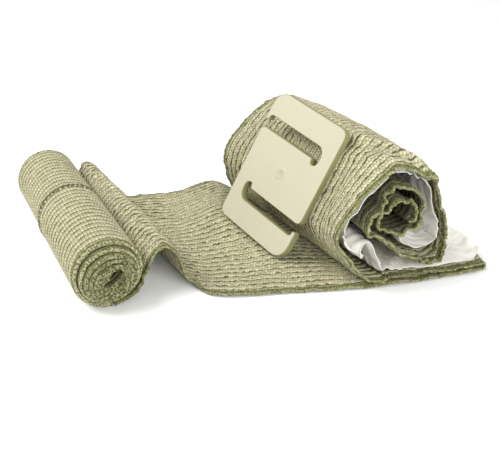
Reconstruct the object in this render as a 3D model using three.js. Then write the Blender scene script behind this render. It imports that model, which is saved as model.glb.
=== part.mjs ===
// Emergency trauma bandage, half unrolled: a ribbed elastic wrap with a tight supply
// roll, a flat run, a loose coil lined by a white dressing pad, and a pressure plate.
// Millimetres, +Z up. The object lies on the plane Z = 0.
import * as THREE from 'three';

// Driving dimensions

// wrap: the elastic knitted band
const BAND_WIDTH = 100;
const WRAP_THICKNESS = 1.2;
const PIECE_GAP = 0.3;

// supply roll: tightly wound turns of the band
const ROLL_RADIUS = 14.1;
const ROLL_AIR = 0.6;
const ROLL_SKEW = 14.4;
const ROLL_Y = 3.7;
const CORE_RADIUS = 1.9;
const CORE_STRETCH = 2.2;
const CORE_TILT = 35;
const LAP_WIDTH = 57.6;
const LAP_STEP = 0.5;

// hump and flat run: the band between the roll and the fold
const HUMP_HEIGHT = 19.3;
const HUMP_REACH = 22;
const RUN_LENGTH = 154.6;
const SWELL_HEIGHT = 8.6;
const SWELL_REACH = 14;
const FOLD_AIR = 0.5;
const RETURN_LENGTH = 45.5;

// loose coil: the band's last stretch
const COIL_WIDTH = 51;
const COIL_HEIGHT = 50.3;
const COIL_Y = -2.5;
const COIL_SKEW = 21.3;
const COIL_FOOT = 3;
const TUCK_REACH = 11;

// dressing pad
const PAD_THICKNESS = 1.8;
const PAD_NEAR_INSET = 2.5;
const PAD_FAR_INSET = 4.5;
const PAD_TAIL = 49.5;

// pressure plate
const PLATE_WIDTH = 45.3;
const PLATE_HEIGHT = 61.2;
const PLATE_THICKNESS = 3.3;
const PLATE_EDGE = 0.6;
const SLOT_HEIGHT = 5.9;
const SLOT_END_BAR = 8.4;
const SLOT_FROM_EDGE = 11.4;
const SLOT_NOTCH = 2.4;
const LIP_HEIGHT = 2.6;
const LIP_WIDTH = 2;
const FREE_CORNER = 8;
const BACK_CORNER = 4.5;
const TONGUE_CORNER = 3;
const PLATE_TURN = -60.7;
const PLATE_LEAN = 26.9;
const PLATE_ROLL = 8.8;
const PRESS_EDGE = 4;
const PRESS_BLEND = 16;

// Sizes that follow from them

const HALF_WRAP = WRAP_THICKNESS / 2;
const LAYER_STEP = WRAP_THICKNESS + ROLL_AIR;
const HUMP_END = ROLL_RADIUS + HUMP_REACH;
const RETURN_HEIGHT = WRAP_THICKNESS + FOLD_AIR + HALF_WRAP;
const COIL_X = RUN_LENGTH - RETURN_LENGTH;
const PAD_LAYER = RETURN_HEIGHT + HALF_WRAP + PIECE_GAP + PAD_THICKNESS / 2;
const TAIL_FLOOR = PAD_LAYER + PAD_THICKNESS / 2 + PIECE_GAP + HALF_WRAP;
const TAIL_RISE = COIL_HEIGHT - TAIL_FLOOR;

// Tables. Each row is one fold or section, as shares of the named size beside it.

// turns of the roll, from the outside in: edges as shares of BAND_WIDTH
const ROLL_EDGES = [
  { turn: 0.0, near: -0.01, far: 1.01 },
  { turn: 0.06, near: 0.0, far: 1.035 },
  { turn: 0.14, near: -0.004, far: 1.055 },
  { turn: 0.2, near: -0.024, far: 1.06 },
  { turn: 0.3, near: -0.034, far: 1.065 },
  { turn: 0.36, near: -0.05, far: 1.065 },
  { turn: 0.5, near: -0.058, far: 1.06 },
  { turn: 0.7, near: -0.064, far: 1.04 },
  { turn: 0.88, near: -0.062, far: 1.01 },
  { turn: 1.0, near: -0.052, far: 0.99 },
];

// hump beside the roll, near, middle and far section: reach past the roll in HUMP_REACH,
// height in HUMP_HEIGHT, slide of the near edge in BAND_WIDTH
const HUMP_ROWS = [
  { near: -0.6, nearHigh: 0, slide: -0.02, mid: -0.6, midHigh: 0, far: -0.6, farHigh: 0 },
  { near: -0.4, nearHigh: 0.01, slide: -0.018, mid: -0.4, midHigh: 0.01, far: -0.4, farHigh: 0.01 },
  { near: -0.2, nearHigh: 0.085, slide: -0.012, mid: -0.2, midHigh: 0.085, far: -0.2, farHigh: 0.085 },
  { near: -0.02, nearHigh: 0.31, slide: -0.005, mid: -0.02, midHigh: 0.31, far: -0.03, farHigh: 0.31 },
  { near: 0.07, nearHigh: 0.58, slide: 0, mid: 0.06, midHigh: 0.6, far: 0.03, farHigh: 0.58 },
  { near: 0.22, nearHigh: 0.855, slide: 0, mid: 0.18, midHigh: 0.88, far: 0.08, farHigh: 0.83 },
  { near: 0.42, nearHigh: 1, slide: 0, mid: 0.39, midHigh: 1, far: 0.18, farHigh: 0.94 },
  { near: 0.6, nearHigh: 0.83, slide: -0.01, mid: 0.52, midHigh: 0.84, far: 0.33, farHigh: 0.83 },
  { near: 0.68, nearHigh: 0.57, slide: -0.015, mid: 0.57, midHigh: 0.56, far: 0.42, farHigh: 0.57 },
  { near: 0.75, nearHigh: 0.33, slide: -0.025, mid: 0.61, midHigh: 0.3, far: 0.5, farHigh: 0.34 },
  { near: 0.86, nearHigh: 0.12, slide: -0.035, mid: 0.68, midHigh: 0.1, far: 0.62, farHigh: 0.13 },
];

// flat run past the hump: along X in what is left of RUN_LENGTH, across Y in BAND_WIDTH
const RUN_ROWS = [
  { near: 0.012, nearSide: 0.06, far: 0.013, farSide: 1.02 },
  { near: 0.039, nearSide: 0.025, far: 0.062, farSide: 1.02 },
  { near: 0.088, nearSide: 0.005, far: 0.121, farSide: 1.022 },
  { near: 0.147, nearSide: -0.005, far: 0.192, farSide: 1.02 },
  { near: 0.205, nearSide: -0.01, far: 0.256, farSide: 1.018 },
  { near: 0.264, nearSide: -0.012, far: 0.31, farSide: 1.02 },
  { near: 0.323, nearSide: -0.018, far: 0.364, farSide: 1.02 },
  { near: 0.388, nearSide: -0.024, far: 0.429, farSide: 1.015 },
  { near: 0.479, nearSide: -0.032, far: 0.526, farSide: 1.01 },
  { near: 0.596, nearSide: -0.036, far: 0.644, farSide: 1.005 },
  { near: 0.726, nearSide: -0.028, far: 0.752, farSide: 1.0 },
  { near: 0.857, nearSide: -0.01, far: 0.86, farSide: 1.0 },
  { near: 0.982, nearSide: 0.01, far: 0.955, farSide: 1.0 },
];

// swell that the plate's foot stands on: crest before the coil's foot in COIL_WIDTH,
// side in BAND_WIDTH, height in SWELL_HEIGHT
const SWELL_ROWS = [
  { side: 0, crest: -0.57, high: 0 },
  { side: 0.1, crest: -0.65, high: 0.04 },
  { side: 0.26, crest: -0.776, high: 0.27 },
  { side: 0.4, crest: -0.904, high: 0.5 },
  { side: 0.55, crest: -1.031, high: 0.76 },
  { side: 0.7, crest: -1.07, high: 0.9 },
  { side: 0.85, crest: -1.07, high: 0.8 },
  { side: 1, crest: -1.05, high: 0.54 },
];

// outer turn of the coil, clockwise from its foot, near, middle and far section: across in
// COIL_WIDTH, height in COIL_HEIGHT; slide and tuck of the near selvedge in BAND_WIDTH
const TURN_ROWS = [
  { near: -0.15, nearHigh: 0.115, slide: 0.01, tuck: 0, mid: -0.125, midHigh: 0.108, far: -0.13, farHigh: 0.105 },
  { near: -0.265, nearHigh: 0.26, slide: 0.03, tuck: 0, mid: -0.205, midHigh: 0.25, far: -0.235, farHigh: 0.24 },
  { near: -0.382, nearHigh: 0.427, slide: 0.04, tuck: 0, mid: -0.247, midHigh: 0.388, far: -0.29, farHigh: 0.4 },
  { near: -0.402, nearHigh: 0.527, slide: 0.04, tuck: 0, mid: -0.245, midHigh: 0.497, far: -0.294, farHigh: 0.537 },
  { near: -0.363, nearHigh: 0.636, slide: 0.03, tuck: 0, mid: -0.212, midHigh: 0.616, far: -0.245, farHigh: 0.656 },
  { near: -0.27, nearHigh: 0.765, slide: 0.02, tuck: 0, mid: -0.127, midHigh: 0.765, far: -0.108, farHigh: 0.795 },
  { near: -0.133, nearHigh: 0.906, slide: 0.01, tuck: 0.01, mid: -0.01, midHigh: 0.91, far: 0.04, farHigh: 0.905 },
  { near: 0.063, nearHigh: 1.044, slide: 0, tuck: 0.022, mid: 0.157, midHigh: 1.045, far: 0.235, farHigh: 0.974 },
  { near: 0.2, nearHigh: 1.024, slide: -0.01, tuck: 0.03, mid: 0.294, midHigh: 1.045, far: 0.392, farHigh: 0.98 },
  { near: 0.327, nearHigh: 0.966, slide: -0.01, tuck: 0.035, mid: 0.435, midHigh: 0.985, far: 0.53, farHigh: 0.91 },
  { near: 0.457, nearHigh: 0.898, slide: -0.01, tuck: 0.037, mid: 0.56, midHigh: 0.885, far: 0.65, farHigh: 0.8 },
  { near: 0.52, nearHigh: 0.773, slide: -0.015, tuck: 0.032, mid: 0.618, midHigh: 0.748, far: 0.725, farHigh: 0.685 },
  { near: 0.557, nearHigh: 0.6, slide: -0.02, tuck: 0.022, mid: 0.66, midHigh: 0.59, far: 0.775, farHigh: 0.55 },
  { near: 0.596, nearHigh: 0.475, slide: -0.02, tuck: 0.012, mid: 0.7, midHigh: 0.46, far: 0.8, farHigh: 0.42 },
  { near: 0.605, nearHigh: 0.358, slide: -0.025, tuck: 0, mid: 0.718, midHigh: 0.348, far: 0.8, farHigh: 0.32 },
  { near: 0.6, nearHigh: 0.28, slide: -0.028, tuck: 0, mid: 0.715, midHigh: 0.272, far: 0.788, farHigh: 0.265 },
];
const TURN_HEART = { across: 0.16, high: 0.54 };

// plate's near bottom corner: across in COIL_WIDTH, along in BAND_WIDTH, height in SWELL_HEIGHT
const PLATE_FOOT = { across: -0.563, along: 0.3235, high: 0.384 };

// tail coil from the turn's end to its free end: across in COIL_WIDTH, height above the pad
// in TAIL_RISE, slide of the near selvedge in BAND_WIDTH
const TAIL_ROWS = [
  { across: 0.562, high: 0.03, slide: -0.036 },
  { across: 0.475, high: 0.005, slide: -0.035 },
  { across: 0.353, high: 0.05, slide: -0.032 },
  { across: 0.22, high: 0.125, slide: -0.03 },
  { across: 0.088, high: 0.239, slide: -0.025 },
  { across: -0.024, high: 0.351, slide: -0.02 },
  { across: -0.133, high: 0.445, slide: -0.015 },
  { across: -0.185, high: 0.515, slide: -0.01 },
  { across: -0.138, high: 0.594, slide: 0 },
  { across: -0.043, high: 0.667, slide: 0 },
  { across: -0.008, high: 0.761, slide: 0 },
  { across: 0.083, high: 0.832, slide: 0 },
  { across: 0.173, high: 0.798, slide: 0 },
  { across: 0.267, high: 0.742, slide: 0 },
  { across: 0.341, high: 0.651, slide: 0 },
  { across: 0.361, high: 0.538, slide: 0 },
  { across: 0.364, high: 0.437, slide: 0 },
  { across: 0.316, high: 0.377, slide: 0 },
  { across: 0.216, high: 0.366, slide: 0 },
  { across: 0.098, high: 0.377, slide: 0 },
  { across: 0.002, high: 0.419, slide: 0 },
  { across: -0.076, high: 0.49, slide: 0 },
  { across: -0.062, high: 0.56, slide: 0 },
  { across: 0.02, high: 0.619, slide: 0 },
  { across: 0.094, high: 0.701, slide: 0 },
  { across: 0.2, high: 0.647, slide: 0 },
  { across: 0.286, high: 0.57, slide: 0 },
  { across: 0.273, high: 0.489, slide: 0 },
  { across: 0.235, high: 0.443, slide: 0 },
];
const TAIL_SHIFT = { near: 0, mid: 0.11, far: 0.167 };

// pad's bottom sheet on the fold: along X in PAD_TAIL past the coil's foot, across Y in
// BAND_WIDTH, lift in PAD_THICKNESS
const SHEET_ROWS = [
  { near: 0.985, nearSide: 0.115, far: 0.66, farSide: 0.96, lift: 0.9 },
  { near: 0.87, nearSide: 0.03, far: 0.53, farSide: 0.965, lift: 0.15 },
  { near: 0.62, nearSide: 0.008, far: 0.3, farSide: 0.965, lift: 0 },
  { near: 0.36, nearSide: 0.0, far: 0, farSide: 0.965, lift: 0 },
];

// pad's pleat at the foot of the lining, near and far section: across in COIL_WIDTH,
// height above the sheet in TAIL_RISE
const PLEAT_ROWS = [
  { near: 0.095, nearHigh: 0.0, far: 0.075, farHigh: 0.0 },
  { near: 0.005, nearHigh: 0.03, far: 0.012, farHigh: 0.035 },
  { near: -0.043, nearHigh: 0.145, far: -0.016, farHigh: 0.145 },
  { near: -0.1, nearHigh: 0.3, far: -0.054, farHigh: 0.27 },
  { near: -0.143, nearHigh: 0.36, far: -0.09, farHigh: 0.32 },
  { near: -0.186, nearHigh: 0.322, far: -0.124, farHigh: 0.285 },
  { near: -0.178, nearHigh: 0.238, far: -0.128, farHigh: 0.213 },
];

// pad's curled end inside the coil, in the same sizes
const CURL_ROWS = [
  { near: 0.51, nearHigh: 0.14, far: 0.7, farHigh: 0.177 },
  { near: 0.412, nearHigh: 0.134, far: 0.6, farHigh: 0.157 },
  { near: 0.304, nearHigh: 0.193, far: 0.475, farHigh: 0.204 },
  { near: 0.196, nearHigh: 0.272, far: 0.365, farHigh: 0.281 },
  { near: 0.17, nearHigh: 0.347, far: 0.335, farHigh: 0.351 },
];

// Helpers

const radians = (degrees) => THREE.MathUtils.degToRad(degrees);
const smooth = (low, high, value) => THREE.MathUtils.smoothstep(value, low, high);

// a point in a frame that stands at (x, y) and is turned by skew degrees about Z
function framePoint(x, y, skew, across, along, high) {
  const axis = new THREE.Vector3(0, 0, 1);
  const point = new THREE.Vector3(across, along, high).applyAxisAngle(axis, radians(skew));
  return point.add(new THREE.Vector3(x, y, 0));
}

const rollPoint = (across, along, high) => framePoint(0, ROLL_Y, ROLL_SKEW, across, along, high);
const coilPoint = (across, along, high) => framePoint(COIL_X, COIL_Y, COIL_SKEW, across, along, high);

// value of a column between the rows of a table, by a straight line
function tableValue(table, key, column, value) {
  const last = table.length - 1;
  let row = 0;
  while (row < last - 1 && table[row + 1][key] < value) row += 1;
  const low = table[row];
  const high = table[row + 1];
  const share = THREE.MathUtils.clamp((value - low[key]) / (high[key] - low[key]), 0, 1);
  return THREE.MathUtils.lerp(low[column], high[column], share);
}

// smooth path through a few points, a fixed number of steps from each to the next
function smoothPath(points, steps) {
  const curve = new THREE.CatmullRomCurve3(points, false, 'centripetal');
  return curve.getPoints(steps * (points.length - 1));
}

// surface across the band: three paths blended by a parabola, near, middle and far
function blendSections(near, mid, far, share) {
  const nearWeight = (1 - share) * (1 - 2 * share);
  const midWeight = 4 * share * (1 - share);
  const farWeight = share * (2 * share - 1);
  const point = near.clone().multiplyScalar(nearWeight);
  return point.addScaledVector(mid, midWeight).addScaledVector(far, farWeight);
}

// unit normals of a grid of points, from its neighbours along and across
function gridNormals(grid) {
  const rows = grid.length;
  const columns = grid[0].length;
  return grid.map((line, i) => line.map((point, j) => {
    const before = grid[Math.max(i - 1, 0)][j];
    const after = grid[Math.min(i + 1, rows - 1)][j];
    const left = line[Math.max(j - 1, 0)];
    const right = line[Math.min(j + 1, columns - 1)];
    const along = new THREE.Vector3().subVectors(after, before);
    const across = new THREE.Vector3().subVectors(right, left);
    return along.cross(across).normalize();
  }));
}

// closed wall of cloth about a grid on its middle surface, flat where it meets the ground
function clothSolid(grid, thickness) {
  const rows = grid.length;
  const columns = grid[0].length;
  const normals = gridNormals(grid);
  const positions = [];
  for (const side of [1, -1]) {
    grid.forEach((line, i) => line.forEach((point, j) => {
      const shifted = point.clone().addScaledVector(normals[i][j], side * thickness / 2);
      positions.push(shifted.x, shifted.y, Math.max(shifted.z, 0));
    }));
  }
  const top = (i, j) => i * columns + j;
  const bottom = (i, j) => rows * columns + top(i, j);
  const index = [];
  for (let i = 0; i < rows - 1; i += 1) {
    for (let j = 0; j < columns - 1; j += 1) {
      index.push(top(i, j), top(i + 1, j), top(i + 1, j + 1));
      index.push(top(i, j), top(i + 1, j + 1), top(i, j + 1));
      index.push(bottom(i, j), bottom(i + 1, j + 1), bottom(i + 1, j));
      index.push(bottom(i, j), bottom(i, j + 1), bottom(i + 1, j + 1));
    }
  }
  const rim = [];
  for (let i = 0; i < rows; i += 1) rim.push([i, 0]);
  for (let j = 1; j < columns; j += 1) rim.push([rows - 1, j]);
  for (let i = rows - 2; i >= 0; i -= 1) rim.push([i, columns - 1]);
  for (let j = columns - 2; j >= 1; j -= 1) rim.push([0, j]);
  rim.forEach(([i, j], place) => {
    const [nextI, nextJ] = rim[(place + 1) % rim.length];
    index.push(top(nextI, nextJ), top(i, j), bottom(i, j));
    index.push(top(nextI, nextJ), bottom(i, j), bottom(nextI, nextJ));
  });
  const geometry = new THREE.BufferGeometry();
  geometry.setAttribute('position', new THREE.Float32BufferAttribute(positions, 3));
  geometry.setIndex(index);
  geometry.computeVertexNormals();
  return geometry;
}

// Plate frame: local x from the far to the near edge, local y up the plate, local z out of its face

const plateMatrix = new THREE.Matrix4();
plateMatrix.makeRotationZ(radians(PLATE_TURN));
plateMatrix.multiply(new THREE.Matrix4().makeRotationX(radians(-PLATE_LEAN)));
plateMatrix.multiply(new THREE.Matrix4().makeRotationY(radians(PLATE_ROLL)));
plateMatrix.multiply(new THREE.Matrix4().makeRotationX(radians(90)));
const footCorner = new THREE.Vector3(PLATE_WIDTH, 0, 0).applyMatrix4(plateMatrix);
const footPlace = coilPoint(
  COIL_WIDTH * PLATE_FOOT.across,
  BAND_WIDTH * PLATE_FOOT.along,
  WRAP_THICKNESS + SWELL_HEIGHT * PLATE_FOOT.high,
);
plateMatrix.setPosition(footPlace.sub(footCorner));
const plateInverse = plateMatrix.clone().invert();
const plateNormal = new THREE.Vector3(0, 0, 1).transformDirection(plateMatrix);

// the plate holds the flank behind it back: the wrap keeps its gap to the plate's back
function pressedByPlate(point) {
  const local = point.clone().applyMatrix4(plateInverse);
  const beyondX = Math.max(-local.x, local.x - PLATE_WIDTH, 0);
  const beyondY = Math.max(-local.y, local.y - PLATE_HEIGHT, 0);
  const weight = 1 - smooth(PRESS_EDGE, PRESS_BLEND, Math.hypot(beyondX, beyondY));
  const allowed = -(PLATE_THICKNESS + PIECE_GAP + HALF_WRAP);
  const push = Math.max(local.z - allowed, 0) * weight;
  return point.clone().addScaledVector(plateNormal, -push);
}

// path steps from each row of a table to the next
const STEPS_PER_ROW = 2;

// Supply roll

const ROLL_STEPS = 18;
const ROLL_STATIONS = [0, 0.035, 0.3, 'lap', 'step', 0.86, 0.96, 1];

// where the outermost lap's step is full, starts to fade and has ended, in turns
const LAP_TURNS = { full: 0.2, fade: 0.75, end: 0.95 };

function rollRadius(turn) {
  return ROLL_RADIUS - HALF_WRAP - LAYER_STEP * turn;
}

function supplyRoll() {
  const wound = (ROLL_RADIUS - HALF_WRAP - CORE_RADIUS) / LAYER_STEP;
  const steps = Math.round(wound * ROLL_STEPS);
  const turns = steps / ROLL_STEPS;
  const grid = [];
  for (let i = 0; i <= steps; i += 1) {
    const turn = i / ROLL_STEPS;
    const share = turn / turns;
    const angle = -Math.PI / 2 - turn * 2 * Math.PI;
    const near = BAND_WIDTH * tableValue(ROLL_EDGES, 'turn', 'near', share);
    const far = BAND_WIDTH * tableValue(ROLL_EDGES, 'turn', 'far', share);
    const lapHold = smooth(0, LAP_TURNS.full, turn) * (1 - smooth(LAP_TURNS.fade, LAP_TURNS.end, turn));
    const line = ROLL_STATIONS.map((station) => {
      const places = { lap: LAP_WIDTH, step: LAP_WIDTH + LAP_STEP };
      const along = places[station] ?? THREE.MathUtils.lerp(near, far, station);
      const lap = along <= LAP_WIDTH ? LAP_STEP * lapHold : 0;
      const radius = rollRadius(turn) + lap;
      const stretch = CORE_STRETCH * share * Math.cos(angle - radians(CORE_TILT));
      const across = radius * Math.cos(angle) + stretch * Math.cos(radians(CORE_TILT));
      const high = radius * Math.sin(angle) + stretch * Math.sin(radians(CORE_TILT));
      return rollPoint(across, along, ROLL_RADIUS + high);
    });
    grid.push(line);
  }
  return clothSolid(grid, WRAP_THICKNESS);
}

// Flat run with its hump and fold

const RUN_STATIONS = [0, 0.1, 0.2, 0.34, 0.48, 0.62, 0.78, 0.92, 1];

// height of the swell that the plate's foot stands on, at a place on the run
function swell(x, y) {
  const side = y / BAND_WIDTH;
  const crest = COIL_X + COIL_WIDTH * tableValue(SWELL_ROWS, 'side', 'crest', side);
  const high = SWELL_HEIGHT * tableValue(SWELL_ROWS, 'side', 'high', side);
  const foot = COIL_X - (y - COIL_Y) * Math.tan(radians(COIL_SKEW));
  const clear = 1 - smooth(foot - SWELL_REACH, foot - COIL_FOOT, x);
  return high * clear * Math.exp(-(((x - crest) / SWELL_REACH) ** 2));
}

// one section of the hump: reach, slide and height in the roll's frame
function humpSection(reach, high) {
  return HUMP_ROWS.map((row) => new THREE.Vector3(
    ROLL_RADIUS + HUMP_REACH * row[reach],
    BAND_WIDTH * row.slide,
    HALF_WRAP + (HUMP_HEIGHT - HALF_WRAP) * row[high],
  ));
}

function humpRows(share) {
  const near = humpSection('near', 'nearHigh');
  const mid = humpSection('mid', 'midHigh');
  const far = humpSection('far', 'farHigh');
  return near.map((point, i) => {
    const section = blendSections(point, mid[i], far[i], share);
    return rollPoint(section.x, BAND_WIDTH * share + point.y * (1 - share) ** 2, section.z);
  });
}

function runRows(share) {
  const startNear = rollPoint(HUMP_END, 0, 0).x;
  const startFar = rollPoint(HUMP_END, BAND_WIDTH, 0).x;
  return RUN_ROWS.map((row) => {
    const near = THREE.MathUtils.lerp(startNear, RUN_LENGTH, row.near);
    const far = THREE.MathUtils.lerp(startFar, RUN_LENGTH, row.far);
    const side = THREE.MathUtils.lerp(row.nearSide, row.farSide, share);
    const place = new THREE.Vector3(THREE.MathUtils.lerp(near, far, share), BAND_WIDTH * side, HALF_WRAP);
    place.z += swell(place.x, place.y);
    return place;
  });
}

// places on the return, as shares of its way from the fold to the coil's foot
const FOLD_RETURN = [0.12, 0.5];

// the fold turns the band back over itself, and the return ends at the coil's foot
function foldRows(share, last) {
  const foot = coilPoint(COIL_FOOT + PIECE_GAP, BAND_WIDTH * share, RETURN_HEIGHT);
  const turnRadius = (RETURN_HEIGHT - HALF_WRAP) / 2;
  const back = (part) => new THREE.Vector3().lerpVectors(last, foot, part).setZ(RETURN_HEIGHT);
  return [
    new THREE.Vector3(last.x + turnRadius, last.y + turnRadius, HALF_WRAP),
    new THREE.Vector3(last.x + 3 * turnRadius, last.y + turnRadius, HALF_WRAP + turnRadius),
    new THREE.Vector3(last.x + turnRadius, last.y + turnRadius, RETURN_HEIGHT),
    ...FOLD_RETURN.map(back),
    foot,
  ];
}

function flatRun() {
  const lines = RUN_STATIONS.map((share) => {
    const run = runRows(share);
    const path = [...humpRows(share), ...run, ...foldRows(share, run[run.length - 1])];
    return smoothPath(path, STEPS_PER_ROW);
  });
  const grid = lines[0].map((point, i) => lines.map((line) => line[i]));
  return clothSolid(grid, WRAP_THICKNESS);
}

// Loose coil: outer turn

const TURN_STATIONS = [0, 0.045, 0.1, 0.18, 0.28, 0.4, 0.55, 0.7, 0.85, 1];

// places on the ground before the turn rises, as shares of COIL_FOOT
const FOOT_PLACES = [1, 0.06];

function turnPath(point) {
  const start = FOOT_PLACES.map((share) => new THREE.Vector3(COIL_FOOT * share, 0, RETURN_HEIGHT));
  return smoothPath([...start, ...TURN_ROWS.map(point)], STEPS_PER_ROW);
}

function turnSection(reach, high) {
  return turnPath((row) => new THREE.Vector3(COIL_WIDTH * row[reach], 0, COIL_HEIGHT * row[high]));
}

const turnSections = {
  near: turnSection('near', 'nearHigh'),
  mid: turnSection('mid', 'midHigh'),
  far: turnSection('far', 'farHigh'),
};
const turnSelvedge = smoothPath(
  [{ slide: 0, tuck: 0 }, { slide: 0, tuck: 0 }, ...TURN_ROWS].map((row, i) => new THREE.Vector3(i, row.slide, row.tuck)),
  STEPS_PER_ROW,
);

// middle surface of the outer turn: a row of its sections and a share of the band's width
function turnPoint(row, share) {
  const { near, mid, far } = turnSections;
  const section = blendSections(near[row], mid[row], far[row], share);
  const heart = new THREE.Vector3(COIL_WIDTH * TURN_HEART.across, 0, COIL_HEIGHT * TURN_HEART.high);
  const edge = Math.max(1 - BAND_WIDTH * share / TUCK_REACH, 0) ** 2;
  const tuck = BAND_WIDTH * turnSelvedge[row].z * edge;
  section.addScaledVector(heart.sub(section).normalize(), tuck);
  const slide = turnSelvedge[row].y * (1 - share) ** 2;
  return pressedByPlate(coilPoint(section.x, BAND_WIDTH * (share + slide), section.z));
}

function turnGrid(shares) {
  return turnSections.near.map((point, row) => shares.map((share) => turnPoint(row, share)));
}

// Loose coil: tail

const TAIL_STATIONS = [0, 0.2, 0.45, 0.7, 1];

function tailSection(reach) {
  const turn = turnSections[reach];
  const end = turn[turn.length - 1].clone();
  const drop = new THREE.Vector3().subVectors(end, turn[turn.length - 2]).setLength(PIECE_GAP);
  end.add(drop).setY(BAND_WIDTH * TURN_ROWS[TURN_ROWS.length - 1].slide);
  const rows = TAIL_ROWS.map((row) => new THREE.Vector3(
    COIL_WIDTH * (row.across + TAIL_SHIFT[reach]),
    BAND_WIDTH * row.slide,
    TAIL_FLOOR + TAIL_RISE * row.high,
  ));
  return smoothPath([end, ...rows], STEPS_PER_ROW);
}

function coilTail() {
  const near = tailSection('near');
  const mid = tailSection('mid');
  const far = tailSection('far');
  const grid = near.map((point, i) => TAIL_STATIONS.map((share) => {
    const section = blendSections(point, mid[i], far[i], share);
    return coilPoint(section.x, BAND_WIDTH * share + point.y * (1 - share) ** 2, section.z);
  }));
  return clothSolid(grid, WRAP_THICKNESS);
}

// Dressing pad

const LINING_FIRST = 7;

function padSheet(share) {
  return SHEET_ROWS.map((row) => new THREE.Vector3(
    COIL_X + PAD_TAIL * THREE.MathUtils.lerp(row.near, row.far, share),
    BAND_WIDTH * THREE.MathUtils.lerp(row.nearSide, row.farSide, share),
    PAD_LAYER + PAD_THICKNESS * row.lift,
  ));
}

function padFolds(table, share) {
  return table.map((row) => coilPoint(
    COIL_WIDTH * THREE.MathUtils.lerp(row.near, row.far, share),
    BAND_WIDTH * share,
    PAD_LAYER + TAIL_RISE * THREE.MathUtils.lerp(row.nearHigh, row.farHigh, share),
  ));
}

function padSolid() {
  const first = PAD_NEAR_INSET / BAND_WIDTH;
  const last = 1 - PAD_FAR_INSET / BAND_WIDTH;
  const shares = TURN_STATIONS.map((share) => THREE.MathUtils.clamp(share, first, last));
  const inset = HALF_WRAP + PIECE_GAP + PAD_THICKNESS / 2;
  const turn = turnGrid(shares);
  const normals = gridNormals(turn);
  const lines = shares.map((share, j) => {
    const lining = turn.map((row, i) => row[j].clone().addScaledVector(normals[i][j], -inset));
    const held = lining.slice(LINING_FIRST);
    const foot = smoothPath([...padSheet(share), ...padFolds(PLEAT_ROWS, share), held[0]], STEPS_PER_ROW);
    foot.forEach((point) => point.setZ(Math.max(point.z, PAD_LAYER)));
    const curl = smoothPath([held[held.length - 1], ...padFolds(CURL_ROWS, share)], STEPS_PER_ROW);
    return [...foot, ...held.slice(1, -1), ...curl];
  });
  const grid = lines[0].map((point, i) => lines.map((line) => line[i]));
  return clothSolid(grid, PAD_THICKNESS);
}

// Pressure plate: an S of three bars, each slot open at one side

function plateOutline() {
  const width = PLATE_WIDTH;
  const height = PLATE_HEIGHT;
  const low = SLOT_FROM_EDGE;
  const lowTop = low + SLOT_HEIGHT;
  const closed = SLOT_END_BAR;
  const notch = SLOT_NOTCH;
  const lipTop = low + LIP_HEIGHT;
  const lipBack = width - LIP_WIDTH;
  // half of the outline, from the far bottom corner to the near end of the top bar;
  // the other half is the same turned by half a turn
  const half = (path, place) => {
    const to = (x, y) => path.lineTo(...place(x, y));
    const bend = (cx, cy, x, y) => path.quadraticCurveTo(...place(cx, cy), ...place(x, y));
    to(width - FREE_CORNER, 0);
    bend(width, 0, width, FREE_CORNER);
    to(width, lipTop);
    to(lipBack, lipTop);
    bend(lipBack, low, lipBack - LIP_WIDTH, low);
    to(closed + notch, low);
    bend(closed, low, closed - notch / 2, low + notch);
    bend(closed - notch, lowTop + notch, closed + notch / 2, lowTop + notch);
    bend(closed + notch, lowTop + notch, closed + notch, lowTop);
    to(width - TONGUE_CORNER, lowTop);
    bend(width, lowTop, width, lowTop + TONGUE_CORNER);
    to(width, height - BACK_CORNER);
    bend(width, height, width - BACK_CORNER, height);
  };
  const shape = new THREE.Shape();
  shape.moveTo(BACK_CORNER, 0);
  half(shape, (x, y) => [x, y]);
  half(shape, (x, y) => [width - x, height - y]);
  return shape;
}

function plateSolid() {
  const geometry = new THREE.ExtrudeGeometry(plateOutline(), {
    depth: PLATE_THICKNESS - 2 * PLATE_EDGE,
    bevelEnabled: true,
    bevelThickness: PLATE_EDGE,
    bevelSize: PLATE_EDGE,
    bevelOffset: -PLATE_EDGE,
    bevelSegments: 2,
    curveSegments: 5,
  });
  return geometry.translate(0, 0, PLATE_EDGE - PLATE_THICKNESS);
}

// Assembly

function part(name, geometry, color, roughness) {
  const material = new THREE.MeshStandardMaterial({ color, roughness, metalness: 0 });
  const mesh = new THREE.Mesh(geometry, material);
  mesh.name = name;
  return mesh;
}

const WRAP_COLOR = 0xb9b78c;
const PAD_COLOR = 0xf2f3f0;
const PLATE_COLOR = 0xe9e3c4;

const bandage = new THREE.Group();
bandage.add(part('supply_roll', supplyRoll(), WRAP_COLOR, 0.95));
bandage.add(part('flat_run', flatRun(), WRAP_COLOR, 0.95));
bandage.add(part('coil_turn', clothSolid(turnGrid(TURN_STATIONS), WRAP_THICKNESS), WRAP_COLOR, 0.95));
bandage.add(part('coil_tail', coilTail(), WRAP_COLOR, 0.95));
bandage.add(part('dressing_pad', padSolid(), PAD_COLOR, 0.9));
const plate = part('pressure_plate', plateSolid(), PLATE_COLOR, 0.4);
plate.applyMatrix4(plateMatrix);
bandage.add(plate);

// the origin is the bottom centre of the whole object
const bounds = new THREE.Box3().setFromObject(bandage);
const centre = bounds.getCenter(new THREE.Vector3());
bandage.position.set(-centre.x, -centre.y, -bounds.min.z);

export default bandage;
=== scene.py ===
"""Emergency trauma bandage: the looks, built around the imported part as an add-on."""
import math

import bmesh
import bpy
import numpy as np
from mathutils import Euler, Matrix, Vector


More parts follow.
